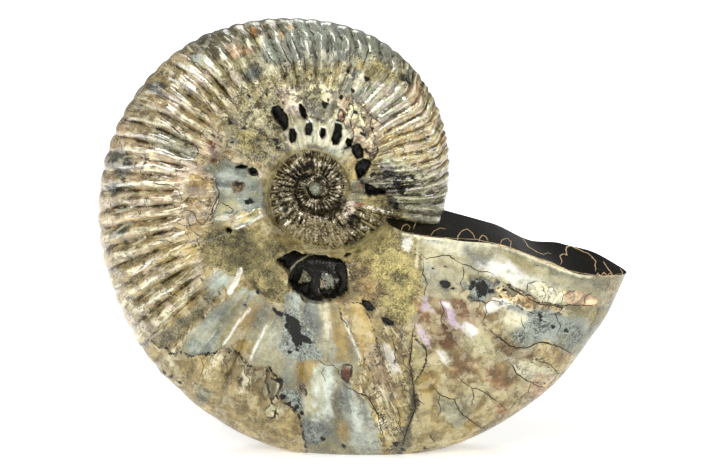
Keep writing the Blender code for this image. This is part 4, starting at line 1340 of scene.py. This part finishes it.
    glossy = (shine * 1.3 + 0.12) * black_here.ramp(0.2, 0.9, 1.0, 0.1)
    nodes.feed(shader, {
        "Base Color": paint,
        "Roughness": fine.ramp(0.35, 0.65, 0.16, 0.34) + sandy_here * 0.15,
        "Metallic": shine * 0.4,
        "Normal": nodes.bump(relief, 0.0002),
        "Coat Weight": nodes.math("MULTIPLY", glossy, deep.ramp(0.0, 1.0, 1.0, 0.2), clamp=True),
    })
    shader.inputs["IOR"].default_value = 1.33
    shader.inputs["Coat IOR"].default_value = 1.8
    shader.inputs["Coat Roughness"].default_value = 0.07
    return material


def umbilicus_material(effects):
    """The dark inner turns, with metallic ribs of silver and pink."""
    material, nodes, place, shader = new_material("umbilicus")
    tint = nodes.add("Attribute", attribute_name="tint").outputs["Color"]
    middle = nodes.noise(place, 620.0, 3.0, 0.6)
    fine = nodes.noise(place, 1900.0, 3.0, 0.65)
    flakes = nodes.group(effects["outlines"], Vector=place, Scale=560.0)
    uneven = nodes.attribute("groove") + (middle - 0.5) * 6.5 + (fine - 0.5) * 3.0
    # darker towards the grooves between ribs and beads: painted shade, mixed with dark tones that vary at
    # random
    metal = nodes.mix(uneven.ramp(-0.6, 0.3), METAL_BROWN, tint)
    metal = nodes.mix(uneven.ramp(0.4, 1.1), metal, METAL_SILVER)
    metal = nodes.mix(middle.ramp(0.56, 0.66, 0.0, 0.12), metal, PINK)
    metal = nodes.mix(uneven.ramp(-0.25, -0.9), metal, BLACK * 0.5)
    metal = nodes.mix(flakes["Line"] * 0.85, metal, BLACK)
    # the calm part is also darker towards the grooves: painted shade
    calm = nodes.mix(uneven.ramp(0.3, -0.9, 0.0, 0.75), tint, DEEP_BROWN * 0.6)
    calm = nodes.mix(fine.ramp(0.47, 0.38, 0.0, 0.9), calm, DEEP_BROWN * 0.4)
    calm = nodes.mix(fine.ramp(0.55, 0.61, 0.0, 0.95), calm, CREAM)
    metallic = nodes.attribute("shine").ramp(0.35, 0.65)
    nodes.feed(shader, {
        "Base Color": nodes.mix(metallic, calm, metal),
        "Roughness": fine.ramp(0.35, 0.65, 0.16, 0.34),
        "Metallic": metallic * 0.75,
        "Normal": nodes.bump(middle + fine * 0.7, 0.00045),
        "Coat Weight": uneven.ramp(-0.8, 0.4, 0.1, 0.9),
    })
    shader.inputs["Coat Roughness"].default_value = 0.06
    return material


def mineral_material(name, low, high, scale, rough):
    """A plain mineral of two colours in fine clouds."""
    material, nodes, place, shader = new_material(name)
    cloud = nodes.noise(place, scale, 4.0, 0.65)
    nodes.feed(shader, {
        "Base Color": nodes.mix(cloud.ramp(0.38, 0.62), low, high),
        "Roughness": cloud.ramp(0.3, 0.7, rough, rough + 0.2),
        "Normal": nodes.bump(cloud, 0.0001, 0.8),
    })
    shader.inputs["Specular IOR Level"].default_value = 0.25
    return material


def sawn_material():
    """The polished black filling in the sawn end."""
    material, nodes, place, shader = new_material("sawn black calcite")
    cloud = nodes.noise(place, 240.0, 4.0, 0.6)
    fine = nodes.noise(place, 1800.0, 3.0, 0.6)
    paint = nodes.mix(cloud.ramp(0.5, 0.75, 0.0, 0.5), BLACK * 0.4, DEEP_BROWN * 0.2)
    paint = nodes.mix(fine.ramp(0.62, 0.72, 0.0, 0.3), paint, OLIVE_BROWN)
    nodes.feed(shader, {"Base Color": paint, "Roughness": fine.ramp(0.3, 0.7, 0.25, 0.4)})
    shader.inputs["Specular IOR Level"].default_value = 0.01
    return material


def camera():
    """Stands where the photograph was taken from."""
    lens = bpy.data.cameras.new("camera")
    lens.sensor_width = SENSOR
    lens.lens = PIXELS_PER_METRE * CAMERA_DISTANCE / PICTURE[0] * SENSOR
    lens.clip_start = 0.01
    eye = bpy.data.objects.new("camera", lens)
    bpy.context.scene.collection.objects.link(eye)
    eye.location = EYE
    eye.rotation_euler = (math.pi / 2 - CAMERA_ELEVATION, 0, 0)
    bpy.context.scene.camera = eye


# The lights: name, place, width, radiance
SOFTBOXES = (
    ("key", (-0.36, -0.66, 0.64), 0.36, 9),
    ("high", (-0.05, -0.30, 0.95), 0.24, 15),
    ("fill", (0.66, -0.45, 0.40), 0.20, 8),
    ("back", (0.0, 0.60, 0.80), 0.40, 5),
)


def softbox(name, place, width, radiance):
    """A square soft light aimed at the middle of the shell."""
    lamp = bpy.data.lights.new(name, "AREA")
    lamp.shape = "SQUARE"
    lamp.size = width
    lamp.energy = radiance * math.pi * width * width
    box = bpy.data.objects.new(name, lamp)
    bpy.context.scene.collection.objects.link(box)
    box.location = place
    box.rotation_euler = (Vector(place) - Vector(CAMERA_TARGET)).to_track_quat("Z", "Y").to_euler()


def studio():
    """A pale surround, the soft lights and a paper floor that glows, less near the shell."""
    bpy.context.scene.view_settings.view_transform = "Standard"
    world = bpy.data.worlds.new("studio")
    world.use_nodes = True
    world.node_tree.nodes["Background"].inputs["Color"].default_value = (1, 1, 1, 1)
    world.node_tree.nodes["Background"].inputs["Strength"].default_value = 0.30
    bpy.context.scene.world = world
    for box in SOFTBOXES:
        softbox(*box)
    bpy.ops.object.select_all(action="DESELECT")
    bpy.ops.mesh.primitive_plane_add(size=9, location=(0, 0, 0))
    floor = bpy.context.object
    floor.name = "floor"
    paper, nodes, place, shader = new_material("glowing white paper")
    away = nodes.value("VectorMath", {0: place}, "Value", operation="LENGTH")
    nodes.feed(shader, {
        "Base Color": np.array([0.93, 0.93, 0.925]),
        "Roughness": 0.9,
        # the floor glows, dimmer near the shell so a soft shadow stays, brighter far off so it reads white
        "Emission Color": nodes.grey(away.ramp(0.03, 0.14, 0.45, 0.80)),
        "Emission Strength": 1.0,
    })
    floor.data.materials.append(paper)


def show_sawn_end(piece):
    """Gives the sawn end its own material."""
    at_saw = read_value(piece, "angle") > SAW_ANGLE - 0.001
    counts = np.empty(len(piece.data.polygons), np.int32)
    piece.data.polygons.foreach_get("loop_total", counts)
    corners = np.empty(len(piece.data.loops), np.int32)
    piece.data.loops.foreach_get("vertex_index", corners)
    starts = np.concatenate([[0], np.cumsum(counts)[:-1]])
    all_there = np.minimum.reduceat(at_saw[corners].astype(np.int32), starts)
    piece.data.polygons.foreach_set("material_index", all_there)


def grind_base(piece):
    """Cuts off what lies below the floor and closes the cut."""
    choose(piece)
    bpy.ops.object.mode_set(mode="EDIT")
    bpy.ops.mesh.select_all(action="SELECT")
    bpy.ops.mesh.bisect(plane_co=(0, 0, 0), plane_no=(0, 0, 1), use_fill=True, clear_inner=True,
                        threshold=1e-6)
    bpy.ops.object.mode_set(mode="OBJECT")


# Cracks: twice their width in millimetres, line
CRACKS = (
    (0.7, "401,448 405,436 409,426 415,410 414,398 413,384 411,372 410,360 412,344 413,330 416,322"),
    (0.5, "413,384 419,376 425,366 427,356 424,346"),
    (0.4, "405,436 400,428 399,420"), (0.4, "414,398 420,402 425,404"), (0.35, "410,372 404,364 402,356"),
    (0.5, "431,384 436,390 440,394 447,397 454,400 457,405 459,410 464,416 470,420 479,426 488,429"),
    (0.45, "454,373 460,379 466,384 472,388 478,389 484,391 491,397 499,402 503,407 508,411"),
    (0.5, "508,360 513,368 518,375 524,379 530,382 538,386 546,388"),
    (0.5, "536,362 543,362 550,364 555,369 559,373 566,372"),
    (0.4, "430,434 432,439 435,444"), (0.35, "440,394 438,402 441,410 437,418"),
    (0.35, "472,388 474,398 470,406"), (0.35, "530,382 528,392 520,398 508,411"),
    (0.75, "488,328 495,335 502,340 506,343 510,346 518,348 526,348"
     " 532,345 538,343 544,343 550,344 558,347 566,350 572,354"),
    (0.5, "502,282 510,287 518,292 526,295 534,302 541,304 548,305 559,306 570,305 584,306 598,305"),
    (0.8, "508,286 514,290 520,294 526,298"), (0.4, "526,295 528,284 538,280"),
    (0.35, "560,305 564,294 576,290"),
    (0.35, "541,304 546,294 542,286"), (0.35, "584,306 586,296 592,292"), (0.3, "552,304 556,294 553,287"),
    (0.45, "421,254 427,260 431,257 436,257 443,255 450,256 456,260 462,264 470,266 478,271 488,272 496,276"),
    (0.4, "424,262 423,274 427,284 424,296"), (0.35, "462,264 464,274 460,284 466,292"),
    (0.4, "478,271 480,280 476,290 480,302 478,312"), (0.35, "440,300 444,310 441,320 446,330"),
    (0.45, "470,301 478,300 486,303 494,300 502,304"), (0.35, "484,301 487,312 483,322 488,328"),
    (0.5, "342,382 348,388 356,392 367,396 373,404 378,416 381,428 383,438"),
    (0.35, "363,356 364,363 364,370"), (0.3, "367,396 376,398 384,394"), (0.3, "378,416 386,414 392,418"),
    (0.4, "315,357 325,365 333,365 341,376"), (0.3, "325,365 322,374 326,382"),
    (0.45, "345,98 351,101 358,103 364,107 368,113 374,118 380,123 388,126"),
    (0.4, "352,96 354,110 350,122 354,134"), (0.35, "362,98 360,112 366,124 362,138"),
    (0.35, "340,106 346,114 344,124 349,132"), (0.4, "372,112 370,126 376,138 371,150"),
    (0.45, "160,118 166,122 172,127 178,132 184,136"), (0.4, "160,150 168,154 176,155 185,158"),
    (0.4, "184,138 190,144 197,147 199,153 195,158 188,158 180,156"), (0.35, "170,134 178,138 186,142"),
    (0.35, "150,172 160,173 170,176 180,176"), (0.4, "148,180 158,184 168,184 178,190 182,198 180,204"),
    (0.35, "176,206 184,202 190,196 196,194"), (0.4, "178,214 186,210 194,212 198,222 206,226"),
    (0.45, "215,173 212,180 216,184 219,190 218,198 214,205 212,212 208,219 203,224 197,227"),
    (0.35, "219,200 216,208 213,215 210,222"), (0.35, "221,202 228,206 233,210 230,214 225,211"),
    (0.3, "188,222 192,230 200,236 206,234"), (0.35, "165,232 175,228 184,230 190,238"),
    (0.35, "150,244 160,240 172,242 180,248"), (0.35, "196,236 200,246 206,254"),
    (0.4, "204,96 209,104 214,110 220,114"), (0.35, "192,104 200,110 208,114 212,122"),
    (0.35, "222,92 228,98 234,104 240,106"), (0.35, "238,82 244,88 250,92"),
    (0.5, "278,42 284,52 290,62 293,70"), (0.5, "292,38 297,50 302,62"), (0.45, "266,50 272,60 280,68"),
    (0.4, "310,36 314,50 317,60"), (0.4, "330,36 332,48 334,58"), (0.4, "350,40 350,52 349,62"),
    (0.4, "368,46 366,58 362,68"), (0.45, "260,60 256,72 262,84"),
    (0.5, "272,410 276,413 279,418"), (0.4, "296,384 300,392 298,402 303,410"),
    (0.4, "228,350 224,360 228,370 224,380"), (0.35, "200,356 204,366 200,376"),
    (0.35, "246,362 244,372 250,380 248,392"), (0.4, "268,370 266,382 271,392"),
    (0.35, "152,312 156,309 160,312 158,317 153,317"), (0.35, "155,302 160,301 162,305 158,307"),
    (0.3, "380,340 384,352 382,364"), (0.3, "392,336 396,350 394,366"), (0.3, "386,380 392,392 390,404"),
    (0.35, "396,404 400,416 396,430"), (0.35, "560,306 556,316 561,326 556,336"),
    (0.35, "600,306 596,318 588,328"), (0.3, "520,318 524,328 520,338"),
)

# Tan lines between the chambers, on the sawn end: twice their width in millimetres, line
CHAMBER_LINES = (
    (0.54, "457,241 458,236 461,232 464,230 467,229 470,231 473,234 475,239"),
    (0.48, "479,242 480,238 483,235 486,237 488,241"),
    (0.58, "519,236 524,240 528,246 532,249 537,252 543,254 548,253 552,254"),
    (0.48, "521,235 522,240 520,245 522,251"),
    (0.65, "560,265 562,261 560,256 563,254 566,254 567,256 566,250 567,247 570,246 574,247"
     " 578,249 582,251 587,253 591,256 594,259 596,262 595,265 596,268 595,272"),
    (0.51, "595,277 598,273 601,276 604,272 607,276 610,273 612,276"),
    (0.54, "603,261 606,266 609,270 612,274 615,278"), (0.51, "620,268 622,272 623,277"),
    (0.41, "430,236 434,231 440,228 447,229"), (0.41, "500,246 502,240 507,238 511,242 510,248"),
    (0.37, "401,231 403,226 407,224 410,227 408,231"), (0.37, "405,221 411,219 416,223 413,229"),
    (0.51, "402,231 420,235 438,237.5 456,238.5 477,239.5 492,243 507,246.5"
     " 522,252 538,258.5 555,265.5 572,271.5 590,274.5 607,276.5 622,273"),
    (0.37, "416,219 434,215 452,213.5 470,219 487,226 500,230 512,233"
     " 533,244 550,246 569,246.5 587,252 604,260 620,267"),
)


def seen_through(place):
    """The ray from the camera through a place in the photograph's frame, as (eye, direction)."""
    lens = CAMERA_DISTANCE * PIXELS_PER_METRE
    across, upwards = (place[0] - PICTURE[0] / 2) / lens, (PICTURE[1] / 2 - place[1]) / lens
    ray = AHEAD + np.array([1, 0, 0]) * across + UP * upwards
    return Vector(EYE), Vector(ray).normalized()


def even_line(line, step, wobble, seed):
    """Points every few pixels along a line, with a small wobble."""
    places = outline(line)
    lengths = np.concatenate([[0], np.cumsum(np.linalg.norm(np.diff(places, axis=0), axis=1))])
    stops = np.linspace(0, lengths[-1], max(3, int(lengths[-1] / step) + 1))
    even = np.stack([np.interp(stops, lengths, places[:, axis]) for axis in (0, 1)], axis=1)
    spread = np.stack([even[:, 0], even[:, 1], np.full(len(even), float(seed))], axis=1)
    off = np.stack([noise(spread, 3.5, 31 + axis, 2) for axis in (0, 1)], axis=1)
    return even + wobble * off


VEIN_SIDES = 6
VEIN_HALF_WIDTH = 0.25  # as a share of the amount named in the tables
VEIN_JUMP = 0.0022  # a vein whose next point is further off has left its surface
BEHIND = 0.1  # where the rays to the far side start
BEHIND_DEPTH = 0.098  # and how far they reach


def thread(name, points, normals, width, proud):
    """A thin closed vein along points of the surface, flat and tapering to both ends."""
    piece, columns, rows = grid_piece(name, VEIN_SIDES, len(points) - 1)
    points, normals = np.array(points), np.array(normals)
    ahead = np.gradient(points, axis=0)
    ahead /= np.linalg.norm(ahead, axis=1, keepdims=True) + TINY
    sideways = np.cross(ahead, normals)
    sideways /= np.linalg.norm(sideways, axis=1, keepdims=True) + TINY
    share = rows / (len(points) - 1)
    taper = np.sqrt(np.clip(1 - np.abs(share * 2 - 1) ** 3, 0, 1))
    uneven = 1 + 0.35 * noise(points, 0.0011, 41)[rows]
    turn = columns / VEIN_SIDES * 2 * math.pi
    half = width * VEIN_HALF_WIDTH * taper * uneven
    place = points[rows] + sideways[rows] * (half * np.cos(turn))[:, None]
    place += normals[rows] * (proud * taper * np.sin(turn))[:, None]
    write_points(piece, np.clip(place, CAD_LOW, CAD_HIGH))
    return piece


def threads(name, lines, surface, step, wobble, proud, both_sides=False):
    """All the veins of one kind as one piece, laid on the surface as the camera sees it."""
    pieces = []
    for number, (width, line) in enumerate(lines):
        shown = []
        for place in even_line(line, step, wobble, number):
            eye, ray = seen_through(place)
            hit, normal, _, _ = surface.ray_cast(eye, ray)
            if hit is not None:
                shown.append((hit, normal))
        far = []
        for hit, _ in shown if both_sides else ():
            across, _, up = turned_over(np.array(hit), -FAR_TURN)
            hit, normal, _, _ = surface.ray_cast((across, BEHIND, up), (0, -1, 0), BEHIND_DEPTH)
            if hit is not None:
                far.append((hit, normal))
        for found in (shown, far):
            jumps = [(b[0] - a[0]).length for a, b in zip(found, found[1:])]
            if len(found) > 3 and max(jumps) < VEIN_JUMP:
                spots, normals = [tuple(hit) for hit, _ in found], [tuple(normal) for _, normal in found]
                pieces.append(thread("vein", spots, normals, width * MILLIMETRE, proud))
    return joined(pieces, name)


def plug():
    """The pale calcite in the middle of the coil."""
    bpy.ops.object.select_all(action="DESELECT")
    bpy.ops.mesh.primitive_uv_sphere_add(segments=48, ring_count=24, radius=PLUG_RADIUS, location=COIL_CENTRE)
    piece = bpy.context.object
    piece.name = "plug"
    bpy.ops.object.transform_apply(location=True, rotation=False, scale=False)
    points = read_points(piece)
    away = points - COIL_CENTRE
    away[:, 1] *= PLUG_HALF_THICKNESS / PLUG_RADIUS
    lumpy = 1 + 0.10 * noise(points, 0.0006, 51, 2)[:, None]
    write_points(piece, COIL_CENTRE + away * lumpy)
    return piece


def dress(piece, material):
    """Gives a finished piece its material and its place in the part."""
    piece.data.materials.append(material)
    choose(piece)
    bpy.ops.object.shade_smooth_by_angle(angle=SHARP_EDGE)
    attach(piece, "root")
    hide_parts("ammonite")


def main():
    camera()
    studio()
    effects = {
        "grains": grains_effect(),
        "crazing": crazing_effect(),
        "curls": curls_effect(),
        "outlines": outlines_effect(),
        "stripes": stripes_effect(),
    }
    coil, inner = last_turn(), inner_turns()
    for piece, paint_piece in ((coil, paint), (inner, paint_umbilicus)):
        skin = Skin(piece)
        raise_ribs(skin)
        paint_piece(skin)
        skin.finish()
    coil.data.materials.append(shell_material(effects))
    show_sawn_end(coil)
    grind_base(coil)
    dress(coil, sawn_material())
    dress(inner, umbilicus_material(effects))
    dress(plug(), mineral_material("calcite plug", OLIVE_BROWN, PALE_BLUE * 0.8, scale=1500.0, rough=0.2))
    surface = BVHTree.FromObject(coil, bpy.context.evaluated_depsgraph_get())
    cracks = threads("cracks", CRACKS, surface, step=1.3, wobble=0.9, proud=0.00005, both_sides=True)
    dress(cracks, mineral_material("crack filling", BLACK * 0.6, DEEP_BROWN * 0.35, scale=900.0, rough=0.5))
    lines = threads("chamber_lines", CHAMBER_LINES, surface, step=0.8, wobble=0.35, proud=0.00008)
    dress(lines, mineral_material("chamber walls", LINE_TAN, LINE_CREAM, scale=1500.0, rough=0.3))
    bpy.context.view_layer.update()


main()
